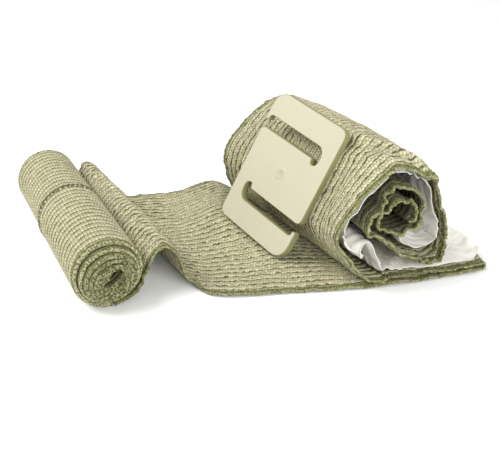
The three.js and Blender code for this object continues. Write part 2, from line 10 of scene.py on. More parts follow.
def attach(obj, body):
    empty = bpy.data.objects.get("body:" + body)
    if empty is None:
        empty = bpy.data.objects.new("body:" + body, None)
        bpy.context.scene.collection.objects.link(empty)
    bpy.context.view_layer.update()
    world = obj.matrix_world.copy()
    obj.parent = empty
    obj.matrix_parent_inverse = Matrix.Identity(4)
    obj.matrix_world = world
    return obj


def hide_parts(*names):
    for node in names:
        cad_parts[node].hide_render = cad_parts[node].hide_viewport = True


bl_info = {
    "name": "Trauma bandage",
    "version": (1, 0, 0),
    "blender": (4, 5, 0),
    "location": "View3D > Sidebar > Bandage",
    "description": "Builds a half-unrolled elastic bandage with its pad, plate and stage",
    "category": "Object",
}

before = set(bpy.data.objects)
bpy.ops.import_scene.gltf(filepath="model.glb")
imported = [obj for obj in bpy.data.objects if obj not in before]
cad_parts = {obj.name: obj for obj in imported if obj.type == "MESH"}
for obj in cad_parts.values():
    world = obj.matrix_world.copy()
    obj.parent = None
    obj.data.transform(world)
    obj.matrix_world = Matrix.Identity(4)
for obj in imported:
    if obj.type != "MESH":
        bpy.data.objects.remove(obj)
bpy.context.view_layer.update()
MM = 0.001

# The least that a length is divided by, and the distance in metres at which points are merged.
TINY = 1e-6
WELD = 1e-7

# Teeth in mm: pitch of the selvedge's scallops, then pitch and depth along the roll's lap.
TOOTH_PITCH = 2.6
LAP_PITCH = 2.0
LAP_TOOTH = 0.8

# Rows of the middle surfaces before they are spaced evenly: for each turn of the roll, from each
# row of a table to the next, and for the pad's lining, which starts some rows into the coil.
ROLL_STEPS = 90
PATH_STEPS = 12
LINING_STEPS = 8
LINING_START = 28

# Rounded edge of the cloth as a share of its width, and the columns in the edge, in one rib of
# the knit and in the pad. The rows at a blunt end stand this share of a row apart.
WRAP_EDGE = 0.007
PAD_EDGE = 0.009
RIM_COLUMNS = 4
RIB_COLUMNS = 4
PAD_COLUMNS = 84
BLUNT_END = 0.2

# Size of the table that the noise repeats.
LATTICE = 257


# Tables. Each row is one fold or section, as shares of the named sizes in BandageSizes.


def columns(names, rows):
    """Turn a short table into one array for each named column."""
    return {name: np.array(values, float) for name, values in zip(names.split(), zip(*rows))}


ROLL_EDGES = columns("turn near far", (
    (0.0, -0.01, 1.01),
    (0.06, 0.0, 1.035),
    (0.14, -0.004, 1.055),
    (0.2, -0.024, 1.06),
    (0.3, -0.034, 1.065),
    (0.36, -0.05, 1.065),
    (0.5, -0.058, 1.06),
    (0.7, -0.064, 1.04),
    (0.88, -0.062, 1.01),
    (1.0, -0.052, 0.99),
))

HUMP = columns("near near_high slide mid mid_high far far_high", (
    (-0.6, 0, -0.02, -0.6, 0, -0.6, 0),
    (-0.4, 0.01, -0.018, -0.4, 0.01, -0.4, 0.01),
    (-0.2, 0.085, -0.012, -0.2, 0.085, -0.2, 0.085),
    (-0.02, 0.31, -0.005, -0.02, 0.31, -0.03, 0.31),
    (0.07, 0.58, 0, 0.06, 0.6, 0.03, 0.58),
    (0.22, 0.855, 0, 0.18, 0.88, 0.08, 0.83),
    (0.42, 1, 0, 0.39, 1, 0.18, 0.94),
    (0.6, 0.83, -0.01, 0.52, 0.84, 0.33, 0.83),
    (0.68, 0.57, -0.015, 0.57, 0.56, 0.42, 0.57),
    (0.75, 0.33, -0.025, 0.61, 0.3, 0.5, 0.34),
    (0.86, 0.12, -0.035, 0.68, 0.1, 0.62, 0.13),
))

RUN = columns("near near_side far far_side", (
    (0.012, 0.06, 0.013, 1.02),
    (0.039, 0.025, 0.062, 1.02),
    (0.088, 0.005, 0.121, 1.022),
    (0.147, -0.005, 0.192, 1.02),
    (0.205, -0.01, 0.256, 1.018),
    (0.264, -0.012, 0.31, 1.02),
    (0.323, -0.018, 0.364, 1.02),
    (0.388, -0.024, 0.429, 1.015),
    (0.479, -0.032, 0.526, 1.01),
    (0.596, -0.036, 0.644, 1.005),
    (0.726, -0.028, 0.752, 1.0),
    (0.857, -0.01, 0.86, 1.0),
    (0.982, 0.01, 0.955, 1.0),
))

# The fold's outside, in radii of its bend, then shares of the way back to the coil's foot.
FOLD = columns("out high", (
    (1, 0),
    (3, 0.1),
    (4.2, 1.5),
    (3, 3),
    (1, 2.5),
))
FOLD_BACK = (0.12, 0.5, 1)

SWELL = columns("side crest high", (
    (0, -0.57, 0),
    (0.1, -0.65, 0.04),
    (0.26, -0.776, 0.27),
    (0.4, -0.904, 0.5),
    (0.55, -1.031, 0.76),
    (0.7, -1.07, 0.9),
    (0.85, -1.07, 0.8),
    (1, -1.05, 0.54),
))

TURN = columns("near near_high slide tuck mid mid_high far far_high", (
    (-0.15, 0.115, 0.01, 0, -0.125, 0.108, -0.13, 0.105),
    (-0.265, 0.26, 0.03, 0, -0.205, 0.25, -0.235, 0.24),
    (-0.382, 0.427, 0.04, 0, -0.247, 0.388, -0.29, 0.4),
    (-0.402, 0.527, 0.04, 0, -0.245, 0.497, -0.294, 0.537),
    (-0.363, 0.636, 0.03, 0, -0.212, 0.616, -0.245, 0.656),
    (-0.27, 0.765, 0.02, 0, -0.127, 0.765, -0.108, 0.795),
    (-0.133, 0.906, 0.01, 0.01, -0.01, 0.91, 0.04, 0.905),
    (0.063, 1.044, 0, 0.022, 0.157, 1.045, 0.235, 0.974),
    (0.2, 1.024, -0.01, 0.03, 0.294, 1.045, 0.392, 0.98),
    (0.327, 0.966, -0.01, 0.035, 0.435, 0.985, 0.53, 0.91),
    (0.457, 0.898, -0.01, 0.037, 0.56, 0.885, 0.65, 0.8),
    (0.52, 0.773, -0.015, 0.032, 0.618, 0.748, 0.725, 0.685),
    (0.557, 0.6, -0.02, 0.022, 0.66, 0.59, 0.775, 0.55),
    (0.596, 0.475, -0.02, 0.012, 0.7, 0.46, 0.8, 0.42),
    (0.605, 0.358, -0.025, 0, 0.718, 0.348, 0.8, 0.32),
    (0.6, 0.28, -0.028, 0, 0.715, 0.272, 0.788, 0.265),
))
TURN_FOOT = (1, 1 / 16)
TURN_HEART = (0.16, 0.54)

# Where the plate's far foot stands: across the coil, along the band and up the swell.
PLATE_FOOT = (-0.563, 0.3235, 0.384)

TAIL = columns("across high slide", (
    (0.562, 0.03, -0.036),
    (0.475, 0.005, -0.035),
    (0.353, 0.05, -0.032),
    (0.22, 0.125, -0.03),
    (0.088, 0.239, -0.025),
    (-0.024, 0.351, -0.02),
    (-0.133, 0.445, -0.015),
    (-0.185, 0.515, -0.01),
    (-0.138, 0.594, 0),
    (-0.043, 0.667, 0),
    (-0.008, 0.761, 0),
    (0.083, 0.832, 0),
    (0.173, 0.798, 0),
    (0.267, 0.742, 0),
    (0.341, 0.651, 0),
    (0.361, 0.538, 0),
    (0.364, 0.437, 0),
    (0.316, 0.377, 0),
    (0.216, 0.366, 0),
    (0.098, 0.377, 0),
    (0.002, 0.419, 0),
    (-0.076, 0.49, 0),
    (-0.062, 0.56, 0),
    (0.02, 0.619, 0),
    (0.094, 0.701, 0),
    (0.2, 0.647, 0),
    (0.286, 0.57, 0),
    (0.273, 0.489, 0),
    (0.235, 0.443, 0),
))
TAIL_SHIFT = {"near": 0.0, "mid": 0.11, "far": 0.167}

# The columns of HUMP and TURN that hold the places across and up of each section.
SECTIONS = (("near", "near_high"), ("mid", "mid_high"), ("far", "far_high"))

PAD_SHEET = columns("near near_side far far_side lift", (
    (0.985, 0.115, 0.66, 0.96, 0.9),
    (0.87, 0.03, 0.53, 0.965, 0.15),
    (0.62, 0.008, 0.3, 0.965, 0),
    (0.36, 0.0, 0, 0.965, 0),
))

PAD_PLEAT = columns("near near_high far far_high", (
    (0.095, 0.0, 0.075, 0.0),
    (0.005, 0.03, 0.012, 0.035),
    (-0.043, 0.145, -0.016, 0.145),
    (-0.1, 0.3, -0.054, 0.27),
    (-0.143, 0.36, -0.09, 0.32),
    (-0.186, 0.322, -0.124, 0.285),
    (-0.178, 0.238, -0.128, 0.213),
))

PAD_CURL = columns("near near_high far far_high", (
    (0.51, 0.14, 0.7, 0.177),
    (0.412, 0.134, 0.6, 0.157),
    (0.304, 0.193, 0.475, 0.204),
    (0.196, 0.272, 0.365, 0.281),
    (0.17, 0.347, 0.335, 0.351),
))


# Relief tables. Lengths and heights are in mm, and places across are shares of the band's width.

# The roll's lap: the turns over which it rises and ends, the softness of its step, and its bead.
LAP_RISE = (0, 0.2)
LAP_END = (0.75, 0.95)
LAP_SOFTNESS = 0.35
LAP_BEAD = {"inside": 0.8, "width": 0.7}

CORE_CRUMPLES = (
    {"seed": 5, "per_turn": 23, "length": 9, "height": 0.45, "start": 0.35, "full": 0.8},
    {"seed": 6, "per_turn": 9, "length": 6, "height": 0.7, "start": 0.55, "full": 0.9},
)

CREPE_WAVES = (
    {"seed": 11, "across": 13, "length": 3.4, "weight": 0.55},
    {"seed": 12, "across": 6, "length": 9, "weight": 0.45},
)

# How much more crepe the hump has, and how the crepe turns over past the fold.
HUMP_CREPE = {"more": 0.5, "start": 45, "end": 65}
FOLD_CREPE = {"past": (-8, -3, 3, 8), "share": (1, 0, 0, -1)}

# The selvedge: how far in its frill and crimp reach, and the noise that runs along it.
FRILL_WIDTH = 2.5
CRIMP_WIDTH = 7
FRILL = {"length": 1.3, "lane": 5.5, "seed": 13}
TOOTH_DRIFT = {"length": 7, "lane": 0, "seed": 14}
PINCH = {"length": 2.2, "lane": 3.5, "seed": 15}

# The crease over the coil's top, its height, and the soft rise behind it.
CREASE = columns("across along", (
    (0.0, 92),
    (0.03, 86),
    (0.11, 75.4),
    (0.2, 70.2),
    (0.35, 67.7),
    (0.6, 69),
))
CREASE_HEIGHT = 1.9
RISE = {"along": 72, "length": 12, "across": 0.45, "width": 0.22, "height": 0.8}

# The pad: its crossing folds, what bends and calms them, its ragged edge, and its room for them.
PAD_WAVES = (
    {"turn": 0.5, "length": 15, "weight": 0.4},
    {"turn": 1.35, "length": 8.5, "weight": 0.35},
    {"turn": 2.3, "length": 5, "weight": 0.25},
)
PAD_WARP = {"height": 6, "length": 13, "seed": 21}
PAD_CALM = {"share": 0.4, "length": 17, "seed": 23}
PAD_RAGGED = {"length": 2.5, "lane": 0, "seed": 24}
PAD_ROOM = columns("along room", (
    (0, 0.7),
    (8, 0.6),
    (14, 0.15),
    (33, 0.15),
    (42, 0.8),
    (60, 1.1),
    (85, 0.75),
    (200, 0.65),
    (240, 0.5),
))


# Sizes and colours


def millimetres(label, description, default):
    """A length that the sidebar can change."""
    return bpy.props.FloatProperty(name=label, description=description + ", in mm", default=default)


def degrees(label, description, default):
    """An angle that the sidebar can change."""
    return bpy.props.FloatProperty(
        name=label, description=description + ", in degrees", default=default)


def tint(label, description, default):
    """A colour that the sidebar can change."""
    return bpy.props.FloatVectorProperty(
        name=label, description=description, subtype="COLOR", default=default)


class BandageSizes(bpy.types.PropertyGroup):
    """Sizes of the wrap, the pad and the plate"""

    band_width: millimetres("Band width", "Width of the elastic wrap", 100)
    wrap_thickness: millimetres("Wrap thickness", "Thickness of the knit", 1.2)
    piece_gap: millimetres("Piece gap", "Clearance between cloth layers", 0.3)
    roll_radius: millimetres("Roll radius", "Outer radius of the tight roll", 14.1)
    roll_air: millimetres("Roll air", "Space from turn to turn of the roll", 0.6)
    roll_skew: degrees("Roll skew", "Turn of the roll about Z", 14.4)
    roll_y: millimetres("Roll place", "Place of the roll's near end", 3.7)
    core_radius: millimetres("Core radius", "Radius left at the roll's middle", 1.9)
    core_stretch: millimetres("Core stretch", "How far the roll's middle is squashed", 2.6)
    core_tilt: degrees("Core tilt", "Slant of the squashed middle", 35)
    lap_width: millimetres("Lap width", "Width of the roll's outermost lap", 57.6)
    lap_step: millimetres("Lap step", "Height of the lap's edge", 0.5)
    hump_height: millimetres("Hump height", "Height of the hump beside the roll", 19.3)
    hump_reach: millimetres("Hump reach", "Reach of the hump past the roll", 22)
    run_length: millimetres("Run length", "Place of the fold along the flat run", 154.6)
    return_length: millimetres("Return length", "Length from the fold back to the coil", 45.5)
    swell_height: millimetres("Swell height", "Height of the swell under the plate", 8.6)
    swell_reach: millimetres("Swell reach", "Half width of the swell", 14)
    fold_air: millimetres("Fold air", "Space inside the fold", 0.5)
    coil_width: millimetres("Coil width", "Width of the loose coil", 51)
    coil_height: millimetres("Coil height", "Height of the loose coil", 50.3)
    coil_y: millimetres("Coil place", "Place of the coil's near end", -2.5)
    coil_skew: degrees("Coil skew", "Turn of the coil about Z", 21.3)
    coil_foot: millimetres("Coil foot", "Where the coil's outer turn starts", 3)
    tuck_reach: millimetres("Tuck reach", "Width of the drawn-in selvedge", 11)
    pad_thickness: millimetres("Pad thickness", "Thickness of the pad", 1.8)
    pad_near_inset: millimetres("Pad near inset", "Pad's edge inside the near selvedge", 2.5)
    pad_far_inset: millimetres("Pad far inset", "Pad's edge inside the far selvedge", 4.5)
    pad_tail: millimetres("Pad tail", "Reach of the pad's free sheet", 49.5)
    plate_width: millimetres("Plate width", "Width of the pressure plate", 45.3)
    plate_height: millimetres("Plate height", "Height of the pressure plate", 61.2)
    plate_thickness: millimetres("Plate thickness", "Thickness of the pressure plate", 3.3)
    plate_turn: degrees("Plate turn", "Turn of the plate about Z", -60.7)
    plate_lean: degrees("Plate lean", "Lean of the plate against the coil", 26.9)
    plate_roll: degrees("Plate roll", "Roll of the plate in its own plane", 8.8)
    slot_height: millimetres("Slot height", "Height of each slot", 5.9)
    slot_end_bar: millimetres("Slot end bar", "Width of the bar that closes a slot", 8.4)
    slot_from_edge: millimetres("Slot place", "Distance of a slot from the plate's edge", 11.4)
    slot_notch: millimetres("Slot notch", "Depth of the notch at a slot's closed end", 2.4)
    lip_height: millimetres("Lip height", "Height of the lip at a slot's mouth", 2.6)
    lip_width: millimetres("Lip width", "Width of the lip at a slot's mouth", 2)
    press_edge: millimetres("Press edge", "Width fully pressed past the plate's edge", 4)
    press_blend: millimetres("Press blend", "Width over which the press fades", 16)


class KnitLook(bpy.types.PropertyGroup):
    """Pattern and colours of the elastic knit"""

    ribs: bpy.props.IntProperty(
        name="Ribs", description="Lengthwise ribs across the band", default=30)
    stitch: millimetres("Stitch", "Length of one stitch", 1.3)
    rib_relief: millimetres("Rib relief", "Height of the ribs", 0.42)
    crepe: millimetres("Crepe", "Height of the soft crepe waves", 1.1)
    scallop: millimetres("Scallop", "Depth of the selvedge's scallops", 0.4)
    light: tint("Yarn", "Colour of the light yarn", (0.5, 0.47, 0.3))
    green: tint("Green yarn", "Greener tint of the light yarn", (0.455, 0.455, 0.278))
    mid: tint("Shaded yarn", "Colour between the loops", (0.2, 0.19, 0.08))
    line: tint("Lines", "Colour of the lines between the ribs", (0.06, 0.058, 0.012))
    selvedge: tint("Selvedge", "Colour of the woven edge", (0.13, 0.14, 0.03))


class PadLook(bpy.types.PropertyGroup):
    """Colour and creases of the dressing pad"""

    white: tint("White", "Colour of the nonwoven", (0.9, 0.88, 0.81))
    crease: millimetres("Crease", "Height of the crumpled creases", 5)
    thickness: millimetres("Sheet thickness", "Thickness of the pad's thin rim", 0.7)


class PlateLook(bpy.types.PropertyGroup):
    """Colour of the moulded plastic, and of its sides with painted shade"""

    cream: tint("Cream", "Colour of the plastic", (0.475, 0.45, 0.332))
    # The sides' colour is the cream plastic darkened by painted shade.
    side: tint("Side", "Colour of the plate's sides", (0.24, 0.235, 0.11))
    gate_size: millimetres("Gate mark", "Size of the moulding mark", 3)


class StageLook(bpy.types.PropertyGroup):
    """Floor and camera of the stage"""

    eye_height: millimetres("Eye height", "Camera height", 179.8)
    eye_back: millimetres("Eye distance", "Camera distance in front of the roll", 285)
    eye_side: millimetres("Eye side", "Camera place along the run", 0.7)
    look_down: degrees("Look down", "Camera slope", 27)
    look_right: degrees("Look right", "Camera turn", 10.7)
    lens: bpy.props.FloatProperty(
        name="Lens", description="Focal length of the camera", unit="CAMERA", default=61.2)
    floor: tint("Floor", "Colour of the floor", (0.93, 0.93, 0.93))


GROUPS = {
    "bandage_sizes": BandageSizes,
    "knit_look": KnitLook,
    "pad_look": PadLook,
    "plate_look": PlateLook,
    "stage_look": StageLook,
}


# Shape helpers


def ease(low, high, value):
    """Smooth step from 0 at low to 1 at high."""
    share = np.clip((value - low) / (high - low), 0, 1)
    return share * share * (3 - 2 * share)


def bell(off, width):
    """Rounded ridge: 1 where off is 0, fading over the width."""
    return np.exp(-((off / width) ** 2))


def smooth_path(points, steps=PATH_STEPS):
    """Rounded path through rows of points, a fixed number of steps from each to the next."""
    points = np.asarray(points, float)
    before = 2 * points[:1] - points[1:2]
    after = 2 * points[-1:] - points[-2:-1]
    line = np.concatenate([before, points, after])
    p0, p1, p2, p3 = line[:-3], line[1:-2], line[2:-1], line[3:]
    gap = [np.maximum(np.linalg.norm(b - a, axis=-1, keepdims=True), TINY) ** 0.5
           for a, b in ((p0, p1), (p1, p2), (p2, p3))]
    leave = ((p1 - p0) / gap[0] - (p2 - p0) / (gap[0] + gap[1]) + (p2 - p1) / gap[1]) * gap[1]
    reach = ((p2 - p1) / gap[1] - (p3 - p1) / (gap[1] + gap[2]) + (p3 - p2) / gap[2]) * gap[1]
    parts = []
    for step in range(steps):
        t = step / steps
        parts.append(
            (2 * t**3 - 3 * t**2 + 1) * p1 + (t**3 - 2 * t**2 + t) * leave
            + (3 * t**2 - 2 * t**3) * p2 + (t**3 - t**2) * reach)
    woven = np.stack(parts, axis=1).reshape((-1,) + points.shape[1:])
    return np.concatenate([woven, points[-1:]])


def blend_sections(near, mid, far, share):
    """Surface across the band: three paths blended by a parabola, one column for each share."""
    share = np.asarray(share)[None, :, None]
    return (near[:, None] * (1 - share) * (1 - 2 * share) + mid[:, None] * 4 * share * (1 - share)
            + far[:, None] * share * (2 * share - 1))


def even_rows(grid, pitch, bend_rows=5.0):
    """Space the rows along a surface, closer in its bends; returns each row's length too.

    pitch is the rows' spacing in mm, as places along the surface and the spacing at each.
    """
    step = np.diff(grid, axis=0)
    size = np.linalg.norm(step, axis=-1)
    heading = step / np.maximum(size[..., None], TINY)
    swing = np.linalg.norm(np.diff(heading, axis=0), axis=-1).mean(axis=1)
    size = size.mean(axis=1)
    length = np.concatenate([[0], np.cumsum(size)])
    effort = size / np.interp(length[1:], *pitch) + bend_rows * np.concatenate([[0], swing])
    effort = np.concatenate([[0], np.cumsum(effort)])
    wanted = np.linspace(0, effort[-1], int(effort[-1]) + 2)
    blunt = BLUNT_END * wanted[1]
    wanted = np.concatenate([[0, blunt], wanted[1:-1], [wanted[-1] - blunt, wanted[-1]]])
    flat = np.concatenate([length[:, None], grid.reshape(len(grid), -1)], axis=1)
    even = np.stack([np.interp(wanted, effort, flat[:, k]) for k in range(flat.shape[1])], axis=1)
    return even[:, 1:].reshape((len(wanted),) + grid.shape[1:]), even[:, 0]


def unit(vectors):
    """Vectors of the same heading and a length of 1."""
    return vectors / np.maximum(np.linalg.norm(vectors, axis=-1, keepdims=True), TINY)


def surface_normals(grid):
    """Unit normals of a surface, on the side that faces out of the coil and up from the run."""
    return unit(np.cross(np.gradient(grid, axis=0), np.gradient(grid, axis=1)))


def soft_noise(across, along, seed):
    """Smooth noise from -1 to 1 on a lattice of unit squares."""
    table = np.random.default_rng(seed).uniform(-1, 1, (LATTICE, LATTICE))
    i = np.floor(across).astype(int)
    j = np.floor(along).astype(int)
    u = across - i
    v = along - j
    u = u * u * (3 - 2 * u)
    v = v * v * (3 - 2 * v)
    a = table[i % LATTICE, j % LATTICE]
    b = table[(i + 1) % LATTICE, j % LATTICE]
    c = table[i % LATTICE, (j + 1) % LATTICE]
    d = table[(i + 1) % LATTICE, (j + 1) % LATTICE]
    return (a * (1 - u) + b * u) * (1 - v) + (c * (1 - u) + d * u) * v


def edge_noise(along, kind, side=1):
    """Noise that runs along a selvedge and is the same all the way in from it."""
    return soft_noise(along / kind["length"], side * kind["lane"] + 0 * along, kind["seed"])


def between_edges(table, near, far, share):
    """Rows of a table, from its column for the near edge to its column for the far one."""
    return table[near][:, None] * (1 - share) + table[far][:, None] * share


def lap_share(sizes):
    """Place of the lap's edge across the band, from the roll's outermost edges."""
    near = ROLL_EDGES["near"][1]
    far = ROLL_EDGES["far"][1]
    return (sizes.lap_width / sizes.band_width - near) / (far - near)


def turned(x, y, skew, points):
    """Points across, along and up in a frame at (x, y) that is turned about Z."""
    angle = math.radians(skew)
    across, along, high = points[..., 0], points[..., 1], points[..., 2]
    return np.stack([
        x + across * math.cos(angle) - along * math.sin(angle),
        y + across * math.sin(angle) + along * math.cos(angle),
        high,
    ], axis=-1)


class Layout:
    """The bandage's middle surfaces, in millimetres, and the shift to the part's own frame."""

    def __init__(self, sizes):
        self.s = sizes
        s = sizes
        self.half = s.wrap_thickness / 2
        self.layer = s.wrap_thickness + s.roll_air
        self.return_height = s.wrap_thickness + s.fold_air + self.half
        self.coil_x = s.run_length - s.return_length
        self.pad_layer = self.return_height + self.half + s.piece_gap + s.pad_thickness / 2
        self.tail_floor = self.pad_layer + s.pad_thickness / 2 + s.piece_gap + self.half
        self.tail_rise = s.coil_height - self.tail_floor
        self.plate = self.plate_matrix()
        self.shift = self.plate_place() - self.plate.translation

    def roll(self, points):
        """Points of the tight roll's own frame, moved to their place."""
        return turned(0, self.s.roll_y, self.s.roll_skew, points)

    def coil(self, points):
        """Points of the loose coil's own frame, moved to their place."""
        return turned(self.coil_x, self.s.coil_y, self.s.coil_skew, points)

    def plate_matrix(self):
        """Plate frame: x from the far to the near edge, y up the plate, z out of its face."""
        s = self.s
        turn = Matrix.Rotation(math.radians(s.plate_turn), 4, "Z")
        turn @= Matrix.Rotation(math.radians(-s.plate_lean), 4, "X")
        turn @= Matrix.Rotation(math.radians(s.plate_roll), 4, "Y")
        turn @= Matrix.Rotation(math.radians(90), 4, "X")
        across, along, high = PLATE_FOOT
        foot = self.coil(np.array([
            across * s.coil_width, along * s.band_width, s.wrap_thickness + high * s.swell_height]))
        corner = Vector(foot) - turn @ Vector((s.plate_width, 0, 0))
        return Matrix.Translation(corner) @ turn

    def plate_place(self):
        """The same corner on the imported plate, so the looks stand where the part stands."""
        turn = self.plate.to_3x3()
        points = np.array([v.co[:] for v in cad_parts["pressure_plate"].data.vertices]) / MM
        local = points @ np.array(turn)
        return turn @ Vector((local[:, 0].min(), local[:, 1].min(), local[:, 2].max()))

    def pressed(self, points):
        """Hold the flank back behind the plate."""
        s = self.s
        inverse = np.array(self.plate.inverted())
        local = points @ inverse[:3, :3].T + inverse[:3, 3]
        beyond_x = np.maximum(np.maximum(-local[..., 0], local[..., 0] - s.plate_width), 0)
        beyond_y = np.maximum(np.maximum(-local[..., 1], local[..., 1] - s.plate_height), 0)
        weight = 1 - ease(s.press_edge, s.press_blend, np.hypot(beyond_x, beyond_y))
        allowed = -(s.plate_thickness + s.piece_gap + self.half)
        push = np.maximum(local[..., 2] - allowed, 0) * weight
        normal = np.array(self.plate.to_3x3() @ Vector((0, 0, 1)))
        return points - push[..., None] * normal

    def supply_roll(self, shares):
        """Spiral of the tight roll, from the outside in, with its toothed lap and crumpled core."""
        s = self.s
        wound = (s.roll_radius - self.half - s.core_radius) / self.layer
        turn = np.linspace(0, wound, int(wound * ROLL_STEPS))[:, None]
        share = turn / wound
        angle = -math.pi / 2 - turn * 2 * math.pi
        near = s.band_width * np.interp(share, ROLL_EDGES["turn"], ROLL_EDGES["near"])
        far = s.band_width * np.interp(share, ROLL_EDGES["turn"], ROLL_EDGES["far"])
        along = near + (far - near) * shares[None, :]
        radius = s.roll_radius - self.half - self.layer * turn
        step = s.lap_step * ease(*LAP_RISE, turn) * (1 - ease(*LAP_END, turn))
        mean_radius = radius + step * s.lap_width / s.band_width
        length = np.cumsum(mean_radius, axis=0) * 2 * math.pi * (turn[1] - turn[0])
        scallop = LAP_TOOTH * np.sin(2 * math.pi * length / LAP_PITCH)
        off_lap = s.band_width * (shares[None, :] - lap_share(s)) - scallop
        bead = bell(off_lap + LAP_BEAD["inside"], LAP_BEAD["width"])
        radius = radius + step * (1 - ease(-LAP_SOFTNESS, LAP_SOFTNESS, off_lap) + bead)
        for crumple in CORE_CRUMPLES:
            noise = soft_noise(
                turn * crumple["per_turn"] + 0 * along, along / crumple["length"], crumple["seed"])
            radius = radius + noise * crumple["height"] * ease(crumple["start"], crumple["full"], share)
        tilt = math.radians(s.core_tilt)
        stretch = s.core_stretch * share * np.cos(angle - tilt)
        return self.roll(np.stack([
            radius * np.cos(angle) + stretch * math.cos(tilt),
            along + 0 * radius,
            s.roll_radius + radius * np.sin(angle) + stretch * math.sin(tilt),
        ], axis=-1))

    def hump(self, shares):
        """The hump beside the roll, from the floor under it to the start of the flat run."""
        s = self.s
        sections = [
            np.stack([
                s.roll_radius + s.hump_reach * HUMP[reach],
                s.band_width * HUMP["slide"],
                self.half + (s.hump_height - self.half) * HUMP[high],
            ], axis=-1)
            for reach, high in SECTIONS]
        grid = blend_sections(*sections, shares)
        slide = s.band_width * HUMP["slide"][:, None] * (1 - shares[None]) ** 2
        grid[..., 1] = s.band_width * shares[None] + slide
        return self.roll(grid)

    def swell(self, x, y):
        """Height of the swell that the plate's foot presses up in the flat run."""
        s = self.s
        side = y / s.band_width
        crest = self.coil_x + s.coil_width * np.interp(side, SWELL["side"], SWELL["crest"])
        high = s.swell_height * np.interp(side, SWELL["side"], SWELL["high"])
        foot = self.coil_x - (y - s.coil_y) * math.tan(math.radians(s.coil_skew))
        clear = 1 - ease(foot - s.swell_reach, foot - s.coil_foot, x)
        return high * clear * bell(x - crest, s.swell_reach)

    def run(self, shares):
        """The flat run, from the hump to the fold."""
        s = self.s
        end = s.roll_radius + s.hump_reach
        start_near = self.roll(np.array([end, 0, 0]))[0]
        start_far = self.roll(np.array([end, s.band_width, 0]))[0]
        near = start_near + (s.run_length - start_near) * RUN["near"]
        far = start_far + (s.run_length - start_far) * RUN["far"]
        share = shares[None, :]
        x = near[:, None] + (far - near)[:, None] * share
        side = RUN["near_side"][:, None] + (RUN["far_side"] - RUN["near_side"])[:, None] * share
        y = s.band_width * side
        return np.stack([x, y, self.half + self.swell(x, y)], axis=-1)

    def fold(self, shares, last):
        """The fold past the run's last row, and the layer that goes back to the coil's foot."""
        s = self.s
        foot = self.coil(np.stack([
            0 * shares + s.coil_foot + s.piece_gap,
            s.band_width * shares,
            0 * shares + self.return_height,
        ], axis=-1))
        bend = (self.return_height - self.half) / 2
        rows = []
        for out, high in zip(FOLD["out"], FOLD["high"]):
            place = last + np.array([bend * out, bend, 0])
            place[..., 2] = self.half + bend * high
            rows.append(place)
        for part in FOLD_BACK:
            place = last + (foot - last) * part
            place[..., 2] = self.return_height
            rows.append(place)
        return np.stack(rows)

    def flat_run(self, shares):
        """The hump, the run and the fold, as one surface."""
        run = self.run(shares)
        return smooth_path(np.concatenate([self.hump(shares), run, self.fold(shares, run[-1])]))

    def turn_section(self, reach, high, steps=PATH_STEPS):
        """One section of the coil's outer turn, from its foot on the folded layer."""
        s = self.s
        foot = np.array([[s.coil_foot * share, 0, self.return_height] for share in TURN_FOOT])
        rows = np.stack([s.coil_width * TURN[reach], 0 * TURN[reach], s.coil_height * TURN[high]], axis=-1)
        return smooth_path(np.concatenate([foot, rows]), steps)

    def coil_turn(self, shares, steps=PATH_STEPS):
        """Outer turn of the loose coil, held back behind the plate."""
        s = self.s
        grid = blend_sections(*(self.turn_section(*names, steps) for names in SECTIONS), shares)
        first = len(TURN_FOOT)
        rows = np.zeros((first + len(TURN["slide"]), 3))
        rows[:, 0] = np.arange(len(rows))
        rows[first:, 1] = TURN["slide"]
        rows[first:, 2] = TURN["tuck"]
        edge = smooth_path(rows, steps)
        heart = np.array([s.coil_width * TURN_HEART[0], 0, s.coil_height * TURN_HEART[1]])
        fade = np.maximum(1 - s.band_width * shares / s.tuck_reach, 0) ** 2
        grid = grid + unit(heart - grid) * (s.band_width * edge[:, 2:] * fade[None])[..., None]
        slide = edge[:, 1:2] * (1 - shares[None]) ** 2
        grid[..., 1] = s.band_width * (shares[None] + slide)
        return self.pressed(self.coil(grid))

    def coil_tail(self, shares):
        """Inner turns of the loose coil, from the outer turn's end to the free end."""
        s = self.s
        sections = []
        for reach, high in SECTIONS:
            end = self.turn_section(reach, high)[-1:]
            end[:, 1] = s.band_width * TURN["slide"][-1]
            rows = np.stack([
                s.coil_width * (TAIL["across"] + TAIL_SHIFT[reach]),
                s.band_width * TAIL["slide"],
                self.tail_floor + self.tail_rise * TAIL["high"],
            ], axis=-1)
            sections.append(smooth_path(np.concatenate([end, rows])))
        grid = blend_sections(*sections, shares)
        slide = sections[0][:, 1:2] * (1 - shares[None]) ** 2
        grid[..., 1] = s.band_width * shares[None] + slide
        return self.coil(grid)

    def pad_folds(self, table, shares):
        """Rows of the pad's pleat or curled end, in the coil's frame."""
        s = self.s
        share = shares[None]
        across = between_edges(table, "near", "far", share)
        high = between_edges(table, "near_high", "far_high", share)
        return self.coil(np.stack([
            s.coil_width * across,
            s.band_width * (share + 0 * across),
            self.pad_layer + self.tail_rise * high,
        ], axis=-1))

